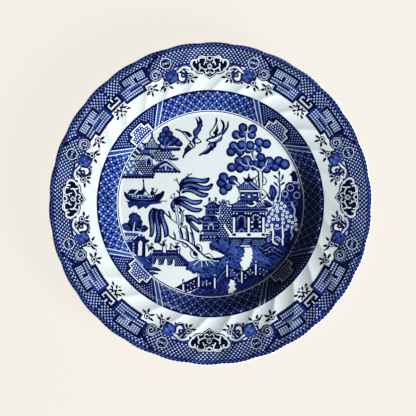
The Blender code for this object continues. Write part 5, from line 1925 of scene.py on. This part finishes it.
def disc_tree():
    """The tree of round leaf heads behind the tea house."""
    film = Print(in_well)
    for i, (x, y, radius) in enumerate(DISCS):
        leaf_disc(film, x, y, radius, 0.15 * i % 2.1 if i < 29 else 0.2 * (i - 28))
    grey, pale = 0.5, 0.06
    film.line([
        (25.6, 60.1), (26.4, 58.4), (27.5, 56), (28.2, 53), (27.9, 50), (27.8, 47), (28.3, 44.2),
    ], [0.6, 0.8, 1.0, 1.1, 1.1, 1.2, 1.2], 0.42, 3)
    film.line([(28.2, 44.4), (30.2, 43.0), (32.4, 42.6), (34.6, 43.4)], 0.7, 0.22, 3)
    film.line([
        (37.8, 45.3), (35.4, 43.6), (33.8, 41.6), (33.9, 39), (35.2, 36.4), (37.6, 34.2),
    ], [0.8, 1.2, 1.5, 1.3, 1.3, 1.0], grey, 3)
    film.line([(34.7, 38.6), (35.6, 36.8), (37.2, 35.4)], 0.8, 0.06, 4)
    film.line([(35.6, 38.8), (36.6, 36.6)], 0.5, 0.95, 4)
    film.lines([
        [(28.4, 44.2), (25.8, 43.0), (22.8, 43), (21, 45.4), (20.2, 46.6)],
        [(27.4, 51.2), (24.4, 51.8), (22.6, 53.6), (21.6, 55)],
        [(28.4, 56.4), (30.4, 57), (32, 58), (33.1, 59.4)],
    ], 0.65, 0.22, 3)
    film.area([
        (28.4, 57.6), (28.2, 56.2), (29.2, 52.4), (29.8, 52.0), (29.4, 54.6), (30.2, 57), (29.6, 58.8),
    ], pale, 3)
    film.lines([
        [(33.2, 30), (31.4, 30.2), (30.4, 32.4), (29.8, 34.8)],
        [(29.6, 30.6), (26.8, 31), (25.2, 32.2), (23.9, 33.8)],
    ], 0.7, 0.2, 3)
    film.line([
        (33.8, 30.4), (37, 28.6), (39.8, 26.4), (40.3, 22), (40.6, 16), (40.7, 12.2),
    ], [0.8, 1.0, 1.8, 1.9, 1.5, 1.3], pale, 4)
    film.line([
        (34.4, 28.8), (37, 27), (38.7, 24.8), (38.9, 20), (39.3, 15), (39.8, 12.6),
    ], [0.7, 0.9, 1.2, 1.2, 1.1, 0.8], 0.97, 3)
    film.line(
        [(42.2, 27.2), (41.8, 24), (41.8, 20), (41.5, 15), (41.2, 11.8)], [0.9, 1.0, 1.0, 1.0, 0.8], 0.97, 3,
    )
    film.line([
        (40.6, 26.2), (42.4, 28.6), (44.4, 30.4), (44.8, 32.4), (45.5, 34.4),
    ], [1.0, 0.9, 0.8, 0.7, 0.6], pale, 4)
    film.line([(43.6, 30.0), (46.6, 30.2), (49.2, 31)], 0.5, 0.35, 4)
    film.line([(19.0, 18.3), (21, 16.7), (23, 15.2)], [0.8, 1.3, 1.0], pale, 3)
    film.line([(21.6, 17.9), (23, 16.3), (24, 14.9)], 0.8, 0.97, 3)
    film.line([(21.6, 15.4), (18.6, 15.1), (14.4, 15.4)], 0.7, 0.4, 3)
    film.line([(14.6, 15.6), (13.2, 17.6), (11.4, 19.7)], 0.6, 0.25, 3)
    film.lines([
        [(41.8, 21.6), (43.6, 20.9), (45, 18.7), (44.6, 16.5), (43.2, 14.9), (42.2, 15.6)],
        [(38.2, 22.6), (36.5, 21.4), (35.9, 19.6), (37.2, 17.6), (36.8, 15.4)],
    ], 0.55, 0.75, 2)
    film.stamps([(42, 18.3), (38.7, 19.4)], round_outline(0.7, 1.6), 1.0, 3)
    film.stamps([(41.7, 7.4)], leaf_outline(3.4, 1.9, -12), 1.0, 3)
    film.lines([
        [(40.9, 12), (43, 10.8), (45.4, 7.6), (43.6, 5.4), (41.6, 3.4)], [(39.8, 9), (40.2, 6), (41.2, 3.6)],
    ], 0.55, 0.85, 2)
    film.line([(47.6, 8.9), (45, 6.6), (42.6, 3.8)], 0.5, 0.75, 2)
    film.lay("print_disc_tree", "cobalt_print")


def garden():
    """The flower garden at the right, behind the tea house, and the rocks below it."""
    film = Print(in_well)
    ground = [
        (44.4, -33), (46, -30.5), (45, -28), (44.6, -25), (46.4, -23), (45.2, -19.6), (44, -18.6), (44.2, -15),
        (45.2, -11), (47.8, -8), (49, -5), (51, -2.2), (53, 0.5), (56, 2), (56.4, 6), (56.6, 9), (59.6, 12),
        (60.4, 15.6), (62.8, 17.5), (66, 17.4), (69.8, 16.8), (72.2, 14), (73.0, 10), (73.6, 4), (73.7, -2),
        (73.2, -9), (72.1, -15.5), (69.5, -24.6), (66.4, -32), (62.6, -38.9), (54, -40), (46, -38),
    ]
    film.area(ground, 0.84, 0)
    grain(film, ground, 0.5, 2.4, 2.4, 9, 0.84, (0.6, 0.7, 1.0))
    film.area([
        (45, -8.5), (52, -1.5), (57, 2.5), (60, 1.5), (62, -2), (64.5, -5.6), (65.4, -9), (66.8, -12),
        (69, -13), (68.4, -18.6), (60, -24), (45, -20),
    ], 0.62, 1, smooth=True)
    blooms = [
        (57, 0.3), (53.6, -1.4), (59.7, -2), (53.2, -3.8), (56.6, -3.5), (50.2, -5.4), (53.7, -6.3),
        (58.9, -5.7), (61.6, -7.2), (49.3, -8.3), (58, -9), (47.1, -10.9), (52.7, -9.8), (61.2, -10.6),
        (64.5, -10.2), (46.8, -13.9), (50.4, -12.3), (54.1, -12.5), (57.9, -12.4), (63, -13.8), (45.4, -17),
        (49.3, -17.2), (53.4, -17.7), (58.3, -15.5), (68.4, -13.1), (65.8, -15), (68.6, -16.8), (62, -18),
        (65.6, -18.8), (60.6, -21.2), (69.2, -20.6), (48.4, -20.6), (46.4, -21.6),
    ]
    film.stamps(blooms, round_outline(1.32, 1.32, 8), 0.0, 2)
    film.dots(blooms, 0.5, 0.85, 3)
    for x, y, radius in (
        (64.1, 12.9, 3.1), (59.8, 7.8, 2.7), (69.3, 6.8, 3.0), (61.3, 3.0, 2.5), (63.7, -3.0, 2.2),
        (68, 0.4, 2.2),
    ):
        strong = radius > 2.6
        film.stamps([(x, y)], round_outline(radius, radius, 16), 0.84, 2, middle_ink=0.66)
        turn = np.radians(np.arange(12) * 30)
        petals = np.column_stack([x + 0.84 * radius * np.cos(turn), y + 0.84 * radius * np.sin(turn)])
        film.stamps(petals, round_outline(0.44, 0.44, 6), 0.14 if strong else 0.45, 3)
        inner = np.column_stack([x + 0.45 * radius * np.cos(turn), y + 0.45 * radius * np.sin(turn)])
        film.stamps(inner, round_outline(0.3, 0.3, 5), 0.92, 3)
        film.dots([(x, y)], 0.32 * radius, 1.0, 3)
    film.line([(65.2, 1.2), (66, -1.5), (67.4, -4), (67.6, -7), (67.1, -9.6), (68.3, -12)], 1.1, 0.18, 3)
    film.area([
        (63.2, 23.6), (65.3, 21.4), (65.3, 18), (69.9, 17.2), (70.3, 20.6), (68.6, 25.4), (67.5, 26.7),
        (66.8, 25.9), (66, 27.2), (65.2, 24.9),
    ], 0.95, 0)
    film.line([(66.6, 16.4), (71, 16.4)], 0.9, 0.25, 2)
    film.line([(66.8, 15.3), (71.2, 15.3)], 0.5, 1.0, 2)
    film.area([(70.0, 13.6), (71.2, 11), (71.8, 13.4), (70.9, 14.2)], 0.2, 2)

    film.area([
        (49.5, 15.3), (51.5, 14), (52.7, 12), (53.5, 9.5), (52.9, 6.5), (51.3, 4.2), (50.8, 2), (49.1, 3.8),
        (47.7, 7), (47.2, 10), (47.5, 13), (48.3, 14.9),
    ], 0.8, 1, smooth=True)
    film.lines([
        [(49.6, 12.6), (50.9, 9.4), (50.4, 5.2)], [(48.6, 11.4), (48.9, 8.4), (49.6, 5.4)],
    ], [0.4, 0.6, 0.4], 0.5, 2)
    film.stamps([(49.2, 6.2), (52.4, 8.8)], round_outline(0.6, 1.4), 0.95, 2)
    film.area([
        (45.3, 7.8), (47, 6.7), (49, 4.3), (50.8, 2), (49.8, 1.6), (47.4, 2.8), (45.8, 5),
    ], 0.75, 1, smooth=True)
    film.stamps([(51.2, 4.9)], leaf_outline(3.6, 1.6, -12), 0.85, 1)
    film.stamps([(53.9, 4.4)], leaf_outline(4.4, 1.7, 14), 0.7, 1)
    film.line([(50.7, 2.2), (50.9, 0.4), (50.2, -1.6), (50.4, -3)], 1.1, 0.4, 2)
    film.line([(52.4, 0.8), (54.2, 2.2), (55.4, 4.4)], 0.5, 0.9, 2)
    film.line([
        (55.3, 22), (55.2, 18), (55.6, 15), (55.6, 11), (55, 7), (54.2, 3),
    ], [0.7, 0.8, 1.0, 1.5, 1.6, 1.2], 0.6, 1)
    film.line([(53.8, 13.6), (54.3, 10), (53.8, 6.4)], 0.6, 0.06, 2)
    leaves = (
        (55.3, 24.3, 4.6, 0), (52.2, 21.5, 4.4, -52), (57.9, 21.2, 4.8, 17), (52.4, 15.9, 4.6, -45),
        (58.2, 16.3, 4.0, 55),
    )
    for x, y, length, lean in leaves:
        film.stamps([(x, y)], round_outline(0.85, length / 2, 10, lean), 0.88, 1)
    film.lines([
        [(53.8, 20.3), (55.1, 19.2)], [(57.2, 19.2), (55.6, 17.6)], [(53.8, 14.2), (55.4, 13)],
        [(56.8, 15.4), (55.8, 14)],
    ], 0.6, 0.7, 1)
    film.ring((54.6, 17.9), 0.3, 0.8, 0.8, 1)

    film.area([
        (44.6, -23.8), (47, -24.4), (49, -26), (49.4, -29.4), (50.2, -31.6), (46, -33.6), (41, -33.4),
        (44.6, -31), (44.4, -27),
    ], 0.85, 2)
    film.lines([
        [(45.4, -29.4), (46.8, -27.4), (48.6, -27)], [(46, -30.8), (47.6, -29), (49, -28.6)],
        [(45, -26.6), (46.6, -25.4), (48.2, -25.2)],
    ], 0.5, 0.25, 3)
    film.area([
        (50.8, -18.4), (57, -18.6), (57.2, -24), (57, -31.6), (54, -32), (51.4, -30.4), (51, -25),
    ], 0.68, 2)
    film.lines([
        [(51.6, -19.6), (53.6, -20.4), (56.4, -19.2)], [(51.8, -27.2), (54, -26.6), (56, -28.6)],
        [(52.2, -29.4), (53.8, -28.6), (55.6, -30.6)],
    ], 0.6, 0.12, 3)
    film.lines([
        [(51.8, -23), (54, -23.4), (56.2, -26)], [(51.4, -28.2), (53.6, -29.8), (56.4, -31.6)],
        [(53.2, -25), (55, -25)],
    ], 0.7, 0.95, 3)
    film.line([
        (49, -17.6), (50, -21), (50.4, -25), (50, -28), (50.6, -31), (54, -32.7),
    ], [0.9, 1.2, 1.2, 1.1, 1.2, 0.7], WHITE_INK, 4)
    film.line(
        [(57.6, -17.6), (58, -22), (58.3, -26), (57.8, -29), (58, -32.8)], [0.9, 1.3, 1.4, 1.3, 1.4], 0.04, 4,
    )
    film.line([(65, -20.4), (65, -23), (65.9, -25), (64.4, -28.8)], [0.9, 1.2, 1.2, 0.6], 0.22, 4)
    film.area([(59.2, -22), (64, -20), (64, -25), (62, -31), (59.4, -33), (59.2, -27)], 0.86, 2)
    film.lines([
        [(60.2, -24), (62.6, -23.4)], [(60.2, -28), (62.8, -27)], [(60, -31), (61.8, -30)],
    ], 0.5, 0.62, 3)

    waves = (
        ([
            (38.3, -35.2), (40.8, -37), (43.8, -35), (47.5, -33.4), (51, -33.6), (55, -35.4), (59.5, -38),
        ], 0.8, 0.95),
        ([(39.2, -35.2), (42, -35.7), (45, -33.8), (48, -32.6)], 0.35, 0.34),
        ([(40, -36.8), (43.2, -37.4), (46, -35.6), (49, -34.6), (53, -36), (57, -38.6)], 0.3, 0.36),
        ([(41, -36.2), (44, -36.6), (47, -34.4), (50, -34.2), (54, -35.8)], 0.5, 0.97),
        ([(40.4, -38.2), (44, -38.8), (47, -36.9), (51, -36.6), (55, -38.6), (58.5, -41)], 0.8, 0.95),
        ([(42, -39.9), (46, -39.6), (50, -38.2), (54, -40.2), (57, -42.6)], 0.3, 0.42),
        ([(41.4, -39.2), (45, -38.9), (49, -37.3), (53.4, -39)], 0.5, 0.97),
        ([(41.6, -40.0), (42.6, -39.6)], 1.1, 1.0),
        ([(44.5, -41.8), (48, -40.7), (52, -41), (55, -43.2)], 0.8, 0.92),
        ([(47.4, -43), (51, -42.1), (54.6, -44.6)], 0.3, 0.5), ([(48, -44.2), (50.6, -43.6)], 0.7, 0.9),
    )
    film.area([
        (38, -35), (44, -33.2), (52, -32.6), (60, -35.4), (60, -38.6), (56.6, -43), (50, -45), (45, -42.4),
        (40.4, -38.6),
    ], 0.7, 1, smooth=True)
    for line, width, ink in waves:
        film.line(line, width, ink, 3)
    flecks = [(46, -36.4), (47.2, -38.2), (44.6, -37.2), (51.4, -35.2), (54, -37.4), (49.6, -36.8)]
    film.dots(flecks, 0.4, 0.15, 4)
    film.lay("print_garden", "cobalt_print")


def bridge():
    """The arched bridge with three small figures crossing it."""
    film = Print(in_well)
    body = [
        (-52.3, -42.9), (-49.5, -41.2), (-47.2, -38.8), (-46.2, -37.4), (-44.6, -37.2), (-27.4, -37.2),
        (-26.3, -38.4), (-25.8, -39.8), (-24.2, -40.4), (-21, -43.4), (-17.3, -46.8), (-18.6, -49.9),
        (-28.7, -49.9), (-28.9, -45), (-29.4, -43.8), (-30, -45), (-30.3, -48), (-32.2, -49.6), (-34.6, -49.5),
        (-34.9, -45), (-35.8, -43.9), (-37, -45), (-37.3, -48), (-39.6, -49.5), (-41.7, -49.3), (-42, -45),
        (-42.8, -43.9), (-43.7, -45), (-44.2, -47.6), (-45.6, -49), (-47.6, -48), (-49.6, -45.8),
        (-51.2, -44.6),
    ]
    film.area(body, 0.93, 0)
    wall = [(-47, -41), (-27.6, -41), (-20.6, -47.8), (-21, -49.2), (-47, -49)]
    beads = staggered(wall, 1.75, 1.35, 0.2)
    beads = beads[inside(beads, [*body[:4], (-46.2, -39), (-27.4, -39), *body[8:]])]
    film.stamps(beads, round_outline(0.46, 0.46, 6), 0.3, 1)
    film.lines([
        [(-43.4, -44.2), (-44.4, -46), (-45, -48.4)], [(-36.6, -44.2), (-37.8, -46), (-38.2, -48.6)],
        [(-29.8, -44.2), (-30.9, -46), (-31.4, -48.6)],
    ], 1.0, 1.0, 2)
    film.line([(-46.2, -39.9), (-48.4, -42), (-50.6, -43.6)], 1.5, 0.62, 2)
    film.area([(-45.8, -37.8), (-39, -37.8), (-39, -40.6), (-46.4, -40.6)], 0.84, 2)
    film.area([(-35, -37.8), (-27.3, -37.8), (-27, -40.6), (-35, -40.6)], 0.84, 2)
    film.lines([[(-45.4, -39.3), (-39.6, -39.3)], [(-34.6, -39.3), (-27.8, -39.3)]], 0.35, 0.42, 3)
    film.area([(-39.2, -38.6), (-34.8, -38.6), (-34.8, -40.6), (-39.2, -40.6)], 0.75, 2)
    film.lines([
        [(-46, -37.5), (-38.7, -37.6)], [(-35.4, -37.6), (-27, -37.5), (-26.4, -39)],
        [(-46.6, -40.9), (-27.4, -40.9), (-19.4, -48.6)],
    ], 0.75, 1.0, 3, smooth=False)
    film.line([(-27.4, -40.6), (-25.4, -41.2), (-22, -44.6), (-18.8, -47.6)], [0.8, 1.8, 1.9, 1.6], 0.75, 2)
    film.line([(-25.4, -40.2), (-21.4, -43.6), (-17.4, -47.2)], 0.7, 1.0, 3)
    film.line([(-28.7, -49.8), (-19.8, -49.9)], 0.8, 0.97, 2)
    film.line([(-37, -35.4), (-36.9, -38.4)], 2.0, WHITE_INK, 3)

    black = 1.0
    film.stamps([(-47.6, -35.4)], round_outline(1.7, 1.3, 10, 30), black, 4)
    film.area([
        (-49.8, -36.4), (-48.2, -35.1), (-47.6, -33.8), (-46.2, -34), (-45.6, -35.6), (-46.5, -36.6),
        (-47.8, -37.4), (-49.2, -37.2),
    ], black, 4)
    film.stamps([(-46.9, -32.2)], round_outline(0.95, 0.6), 0.85, 4)
    film.line([(-47.4, -33.2), (-45.9, -32.6)], 0.5, 0.8, 5)
    film.ring((-50.2, -33.3), 0.45, 1.0, 0.75, 4)
    film.line([(-50, -34.2), (-49.8, -35.8), (-49.3, -38.6)], 0.6, 0.75, 4)
    film.line([(-46, -34.6), (-45, -36.4), (-44.4, -37.6)], 0.5, 0.85, 4)
    film.stamps([(-46.6, -36.9)], round_outline(0.6, 0.6), 0.04, 5)
    film.line([(-46.6, -38.6), (-47.0, -39.4)], 1.0, 0.15, 4)

    film.stamps([(-37.6, -32.8)], round_outline(1.3, 1.6, 10), black, 4)
    film.area([
        (-39, -33.9), (-38.1, -31.4), (-36.6, -31.2), (-36.2, -33), (-37.4, -34.3), (-38.2, -34.4),
    ], black, 4)
    film.lines([[(-38.2, -30.4), (-37, -30.2), (-35.5, -29)], [(-37.4, -31.2), (-36.4, -30.2)]], 0.55, 0.85, 4)
    film.line([(-41, -31.5), (-39.8, -33), (-38.6, -33.6)], 0.8, 0.8, 4)
    film.stamps([(-39.4, -32.2)], round_outline(0.5, 0.4), 0.3, 5)
    film.lines([
        [(-36.2, -32.6), (-35.2, -33.4), (-34.8, -34.6)], [(-38.2, -34.6), (-38.4, -36.8)],
        [(-36, -34.6), (-35.4, -37.2)],
    ], 0.5, 0.75, 4)

    film.stamps([(-27.2, -34.7)], round_outline(1.6, 1.3, 10, 10), black, 4)
    film.area([
        (-29.2, -35.5), (-27.9, -34.3), (-26.7, -32.9), (-25.4, -33.9), (-25.7, -35.3), (-27.2, -36),
        (-28.6, -36),
    ], black, 4)
    film.lines([[(-27.9, -31.6), (-26.4, -31.9), (-25, -31.3)], [(-26.8, -32.6), (-26, -31.9)]], 0.6, 0.8, 4)
    film.lines([
        [(-31.8, -32), (-30.7, -32.9), (-29.4, -34.6)], [(-31.7, -32.2), (-31.7, -34), (-31.8, -35.6)],
    ], 0.6, 0.75, 4)
    film.stamps([(-31.8, -35.8)], round_outline(0.95, 0.75), 0.85, 4)
    film.lines([
        [(-25.1, -34), (-24.2, -36.4), (-24.6, -38.4), (-24.3, -40.2)],
        [(-26.9, -36), (-26.3, -37.4), (-26.2, -38.8)], [(-26.6, -37), (-25.2, -37.2)],
    ], 0.5, 0.7, 4)
    film.lay("print_bridge", "cobalt_print")


SHORE = [
    (-18.4, -47.6), (-17, -46.8), (-14, -46), (-10.6, -45.4), (-4, -44.6), (0, -43.9), (4.6, -43.6), (8, -43),
    (10.6, -42), (11.6, -41.4), (9.2, -40.4), (6, -38.6), (3, -37.5), (0.4, -37), (-0.5, -35), (-0.6, -32.4),
    (0.6, -30.8), (4, -29.8), (6.4, -27.2), (15, -26.9), (15, -33.1), (24, -33.4), (24.8, -34.9), (27.3, -35.1),
    (27.2, -36.4), (28.1, -38.9), (26.3, -40.2), (27.4, -42.1), (24.4, -43.6), (26, -45.6), (23.7, -46.9),
    (24.5, -49.6), (25.8, -51.9), (26.9, -54.6), (25, -55.6), (14, -50.4), (12.6, -50.4), (3.6, -60.2),
    (-9.6, -60.4), (-9.8, -57.1), (-11.5, -55.5), (-13, -56.2), (-14.6, -56.1), (-15, -54.6), (-16.8, -54.3),
    (-17.6, -53.4), (-19.6, -53.4), (-19.8, -50),
]
FAR_BANK = [
    (32.7, -35.1), (33.6, -37.2), (33.7, -39.2), (34.4, -40.2), (32.9, -41.3), (34.9, -43.5), (33, -45),
    (33.3, -46.7), (31.8, -48.2), (31.4, -50.4), (29.4, -52.6), (36.2, -48.6), (49.4, -53.6), (54, -48.4),
    (58.4, -42.8), (60.6, -39), (52, -39), (44.5, -33), (31.8, -33.2), (31.8, -35),
]
NEAR_BANK = [
    (-15.4, -70.9), (-10, -67.9), (2.6, -68.7), (5, -67.6), (9.4, -61.2), (13, -58.9), (15, -59.4),
    (16.1, -60.3), (15.6, -62.8), (14.2, -65), (15.9, -67.3), (14.5, -68.6), (14.3, -70.9),
]
NEAR_BANK_RIGHT = [
    (18.6, -70.3), (20.9, -68.7), (19.9, -67.5), (19.1, -66), (20.7, -64.5), (19.3, -63.5), (19.6, -62),
    (24.4, -63.9), (26.8, -63.1), (36, -57.8), (42.6, -60.2),
]


def arc_of_well(start, end, radius):
    """Points along the rim of the well between two angles."""
    turn = np.radians(np.linspace(start, end, max(2, int(abs(end - start) / 2) + 1)))
    return [(radius * math.cos(t), radius * math.sin(t)) for t in turn]


def grain(film, outline, level, spacing=2.0, length=2.6, seed=3, edge=0.58, shades=(0.36, 0.5, 0.76)):
    """Short soft strokes that mottle an area of flat ink, running down to the right."""
    picks = np.random.default_rng(seed)
    places = staggered(outline, spacing, spacing * 0.8)
    places = places + picks.uniform(-0.7, 0.7, places.shape)
    places = places[inside(places, outline)]
    for shade in shades:
        some = places[picks.random(len(places)) < 0.4]
        film.stamps(some, round_outline(0.5, length / 2, 8, 128), edge, level, middle_ink=shade)


def shore():
    """Ground and water round the willow's foot, before the tea house and below the fence."""
    film = Print(in_well)
    near = [*NEAR_BANK, *arc_of_well(-78.6, -102.4, 73.7)]
    right = [*NEAR_BANK_RIGHT, *arc_of_well(-54.6, -75.2, 73.7)]
    film.area(SHORE, 0.58, 0)
    film.area(FAR_BANK, 0.6, 0)
    film.area(near, 0.74, 0)
    film.area(right, 0.78, 0)
    film.area([
        (49.4, -53.6), (54, -48.4), (58.4, -42.8), (60.6, -39), (62.9, -38.6), (58.6, -44.8), (52.6, -51.6),
        (50.2, -54),
    ], 0.95, 1)
    washes = (
        (3, -33.5, 4, 2.2, 0.42), (11, -31, 3.4, 2.4, 0.44), (12, -46.5, 5, 2.6, 0.42), (20, -38, 4, 3, 0.46),
        (40, -38, 4, 2.4, 0.42), (44, -45, 5, 3, 0.46), (36, -44, 2.4, 4, 0.44), (-8, -49.5, 5, 2.4, 0.44),
        (0, -54, 6, 2.6, 0.72), (21, -50, 3, 4, 0.7), (14, -35, 2.6, 3, 0.7),
    )
    for x, y, wide, tall, ink in washes:
        film.stamps([(x, y)], round_outline(wide, tall, 16, 20), 0.58, 0.5, middle_ink=ink)
    grain(film, SHORE, 1)
    grain(film, FAR_BANK, 1, seed=5)
    grain(film, near, 1, seed=7)
    edges = (
        [(-0.4, -32), (1, -34.4), (3.4, -35.6), (6, -36)],
        [(4.6, -36.2), (8, -37.4), (10.4, -38.8)],
        [(7.6, -38.6), (10.4, -39.8), (13, -41.2), (15, -41.2)],
        [(-0.4, -33), (-0.2, -36)],
        [(2.6, -33.8), (3.0, -36.2)],
        [(-19.2, -49.2), (-17.4, -51.4), (-14.6, -53.2)],
        [(-19.4, -52.6), (-17.4, -52.8)],
        [(-15.8, -53.8), (-13.4, -55.4), (-10.6, -54.6), (-7, -55.6), (-4.4, -55.4)],
        [(-9.4, -60.2), (-4, -59.8), (3, -60)],
        [(15.4, -27.6), (15.3, -33)],
        [(3.0, -44.6), (6.0, -44.2), (9.6, -43.2)],
    )
    film.lines(edges, 0.8, 0.93, 2)
    glints = [
        [(-14, -51), (-12.6, -52)], [(-8.4, -52.6), (-7, -54)], [(8, -30.4), (9, -33)],
        [(12.6, -32.4), (13.6, -35)], [(35.6, -37.6), (36.8, -40)],
    ]
    film.lines(glints, 0.8, 0.42, 2)
    film.lay("print_shore", "cobalt_print")


POSTS = (
    # x, the post's top, its foot, and its finial's height
    (-21.8, -64.6, -69.1, -62.4), (-9.4, -58.3, -66.7, -56.8), (3.45, -59.6, -67.9, -57.1),
    (13.4, -49.1, -58.5, -46.8), (25.2, -54.6, -63.6, -52.6), (36.4, -48.5, -57.1, -46.4),
)
FENCE_PANELS = (
    [(-27.6, -67.4), (-22.6, -64.2), (-22.6, -69.6), (-25.2, -68.6)],
    [(-20.6, -64.2), (-10.2, -58.7), (-10.2, -66.8), (-15, -69.8), (-20.6, -70.9)],
    [(-8.6, -59.9), (2.8, -60.2), (2.8, -68.4), (-8.6, -67.6)],
    [(4.4, -60.2), (12.6, -50.6), (12.6, -58.8), (9, -60.8), (4.6, -67)],
    [(14.4, -50.2), (24.4, -54.4), (24.4, -63.7), (14.4, -59)],
    [(26.6, -54.9), (35.6, -49.2), (35.6, -57.4), (26.6, -62.8)],
    [(37.4, -49.8), (49.2, -53.3), (50.4, -54.3), (42.2, -60.1), (37.4, -57.8)],
)


def fence():
    """The zigzag paling across the foreground, with white posts and round finials."""
    film = Print(in_well)
    for outline in FENCE_PANELS:
        film.area(outline, 0.93, 1)
    white = [
        (-18.2, -65.3), (-15.8, -63.7), (-13.2, -62.2), (-12.8, -66.6), (-15.6, -68), (-18.3, -69.4),
        (-16.2, -66.2), (-13.6, -64.6), (-3.2, -61.9), (-3.1, -65.2), (-0.4, -63.8), (-6.2, -65.2),
        (-3.2, -63.6), (17.6, -53.1), (19.2, -55.3), (21.5, -57.2), (19.6, -59.9), (22.6, -62.2), (28, -57.4),
        (30, -54.8), (32, -53), (31, -56.4), (28.2, -59.5), (33.8, -55.2), (39.8, -52.2), (42.6, -53),
        (45.2, -54), (39.8, -56.2), (42.8, -57),
    ]
    film.dots(white, 0.55, 0.12, 2)
    film.ring((-5.8, -63.2), 0.6, 1.15, 0.35, 2)
    film.ring((-0.6, -64.2), 0.9, 1.3, 0.5, 2)
    film.ring((31.9, -55.6), 1.0, 1.5, 0.4, 2)
    film.line([(-19.6, -68.4), (-12, -64.2)], 0.7, 1.0, 3)
    film.line([(5.2, -62.4), (8, -58.2), (11.6, -54)], 0.8, 0.45, 2)
    film.line([(5.4, -65), (8.2, -61), (11.4, -58)], 0.7, 0.55, 2)
    film.lines([
        [(15.6, -52.6), (19, -57), (23.6, -61.8)], [(15.6, -58), (19.4, -57), (23.6, -55.8)],
    ], 0.6, 0.4, 2)
    film.stamps([(16.3, -55.9)], leaf_outline(2.6, 1.8), 0.5, 2)
    film.line([(38.4, -53.8), (42, -54.8), (46.6, -56.4)], 0.6, 0.55, 2)
    film.line([(37.8, -50.4), (43, -51.6), (48.6, -53.6)], 0.5, 0.5, 2)
    rails = (
        [(-27.6, -67.5), (-21.8, -64.2), (-9.4, -58.3)],
        [(-8.8, -60.0), (3, -60.3)],
        [(4.2, -60.4), (12.8, -50.3)],
        [(14.2, -50), (25, -54.8)],
        [(26, -55.2), (36, -48.8)],
        [(37.2, -49.6), (49.8, -53.6)],
        [(-20, -70.8), (-15.2, -69.6), (-10.6, -67.3), (2.8, -68.4)],
        [(4.6, -67.2), (9.2, -60.8), (13, -58.8), (24.8, -63.8), (36, -57.6), (42.4, -60.2)],
    )
    film.lines(rails, 0.75, 1.0, 3, smooth=False)
    for x, top, foot, finial in POSTS:
        bars(film, [(x - 1.0, x + 1.6, foot - 0.3, top + 0.3)], 0.98, 3)
        bars(film, [(x - 0.6, x + 0.55, foot, top)], 0.06, 4)
        film.stamps([(x, finial)], round_outline(0.95, 1.2), 0.97, 3)
        film.stamps([(x, finial - 0.1)], round_outline(0.5, 0.75), 0.06, 4)
        film.stamps([(x, finial + 1.6)], round_outline(0.55, 0.6), 0.95, 3)
    film.stamps([(49.2, -50)], round_outline(0.8, 1.1), 0.98, 3)
    film.stamps([(49.2, -50)], round_outline(0.4, 0.7), 0.5, 4)
    film.lay("print_fence", "cobalt_print")


shore()
island()
birds()
boat()
gate()
garden()
shrubs()
small_pagoda()
tea_house()
disc_tree()
bridge()
fence()
willow()


# ---------------------------------------------------------------- stage

def stage_floor():
    """A pale paper sweep. Most of its tone is its own, so that the plate's shadow stays faint."""
    bpy.ops.mesh.primitive_plane_add(size=6, location=(0, 0, -0.0002))
    floor = bpy.context.object
    floor.name = "floor"
    material = bpy.data.materials.new("floor_paper")
    material.use_nodes = True
    shader = material.node_tree.nodes["Principled BSDF"]
    shader.inputs["Base Color"].default_value = (0.055, 0.052, 0.049, 1)
    shader.inputs["Roughness"].default_value = 0.9
    shader.inputs["Specular IOR Level"].default_value = 0.05
    shader.inputs["Emission Color"].default_value = (0.922, 0.879, 0.807, 1)
    shader.inputs["Emission Strength"].default_value = 0.936
    floor.data.materials.append(material)


def area_light(name, azimuth, elevation, distance, size, watts, colour, glossy=True):
    """A square light that faces the plate, as degrees, metres and watts."""
    a, e = math.radians(azimuth), math.radians(elevation)
    place = distance * Vector((math.cos(a) * math.cos(e), math.sin(a) * math.cos(e), math.sin(e)))
    data = bpy.data.lights.new(name, "AREA")
    data.size = size
    data.energy = watts
    data.color = colour
    light = bpy.data.objects.new(name, data)
    light.location = place
    light.rotation_mode = "QUATERNION"
    light.rotation_quaternion = (-place).to_track_quat("-Z", "Y")
    light.visible_glossy = glossy
    bpy.context.scene.collection.objects.link(light)


def studio():
    """A strong low key light, which shades the flutes, a faint glint and hardly any ambient light."""
    world = bpy.data.worlds.new("studio")
    bpy.context.scene.world = world
    world.use_nodes = True
    background = world.node_tree.nodes["Background"]
    background.inputs["Color"].default_value = (0.97, 0.99, 1.0, 1)
    background.inputs["Strength"].default_value = 0.035
    area_light("key", -32, 24, 2.4, 0.75, 138, (0.99, 1.0, 1.0), glossy=False)
    area_light("glint", 60, 42, 2.4, 0.8, 3, (0.97, 0.99, 1.0))
    bpy.context.scene.view_settings.view_transform = "Standard"


CAMERA_HEIGHT = 1.6
CAMERA_XY = (-0.0020, -0.00345)
PICTURE_WIDTH = 0.3336  # what the picture spans at the rim's height
SENSOR = 36.0


def camera():
    """Looks straight down. The plate sits a little off the picture's middle."""
    data = bpy.data.cameras.new("camera")
    rim_z = LIP_START_Z * MM
    data.sensor_width = SENSOR
    data.lens = SENSOR / 2 / (PICTURE_WIDTH / 2 / (CAMERA_HEIGHT - rim_z))
    obj = bpy.data.objects.new("camera", data)
    obj.location = (*CAMERA_XY, CAMERA_HEIGHT)
    bpy.context.scene.collection.objects.link(obj)
    bpy.context.scene.camera = obj


stage_floor()
studio()
camera()
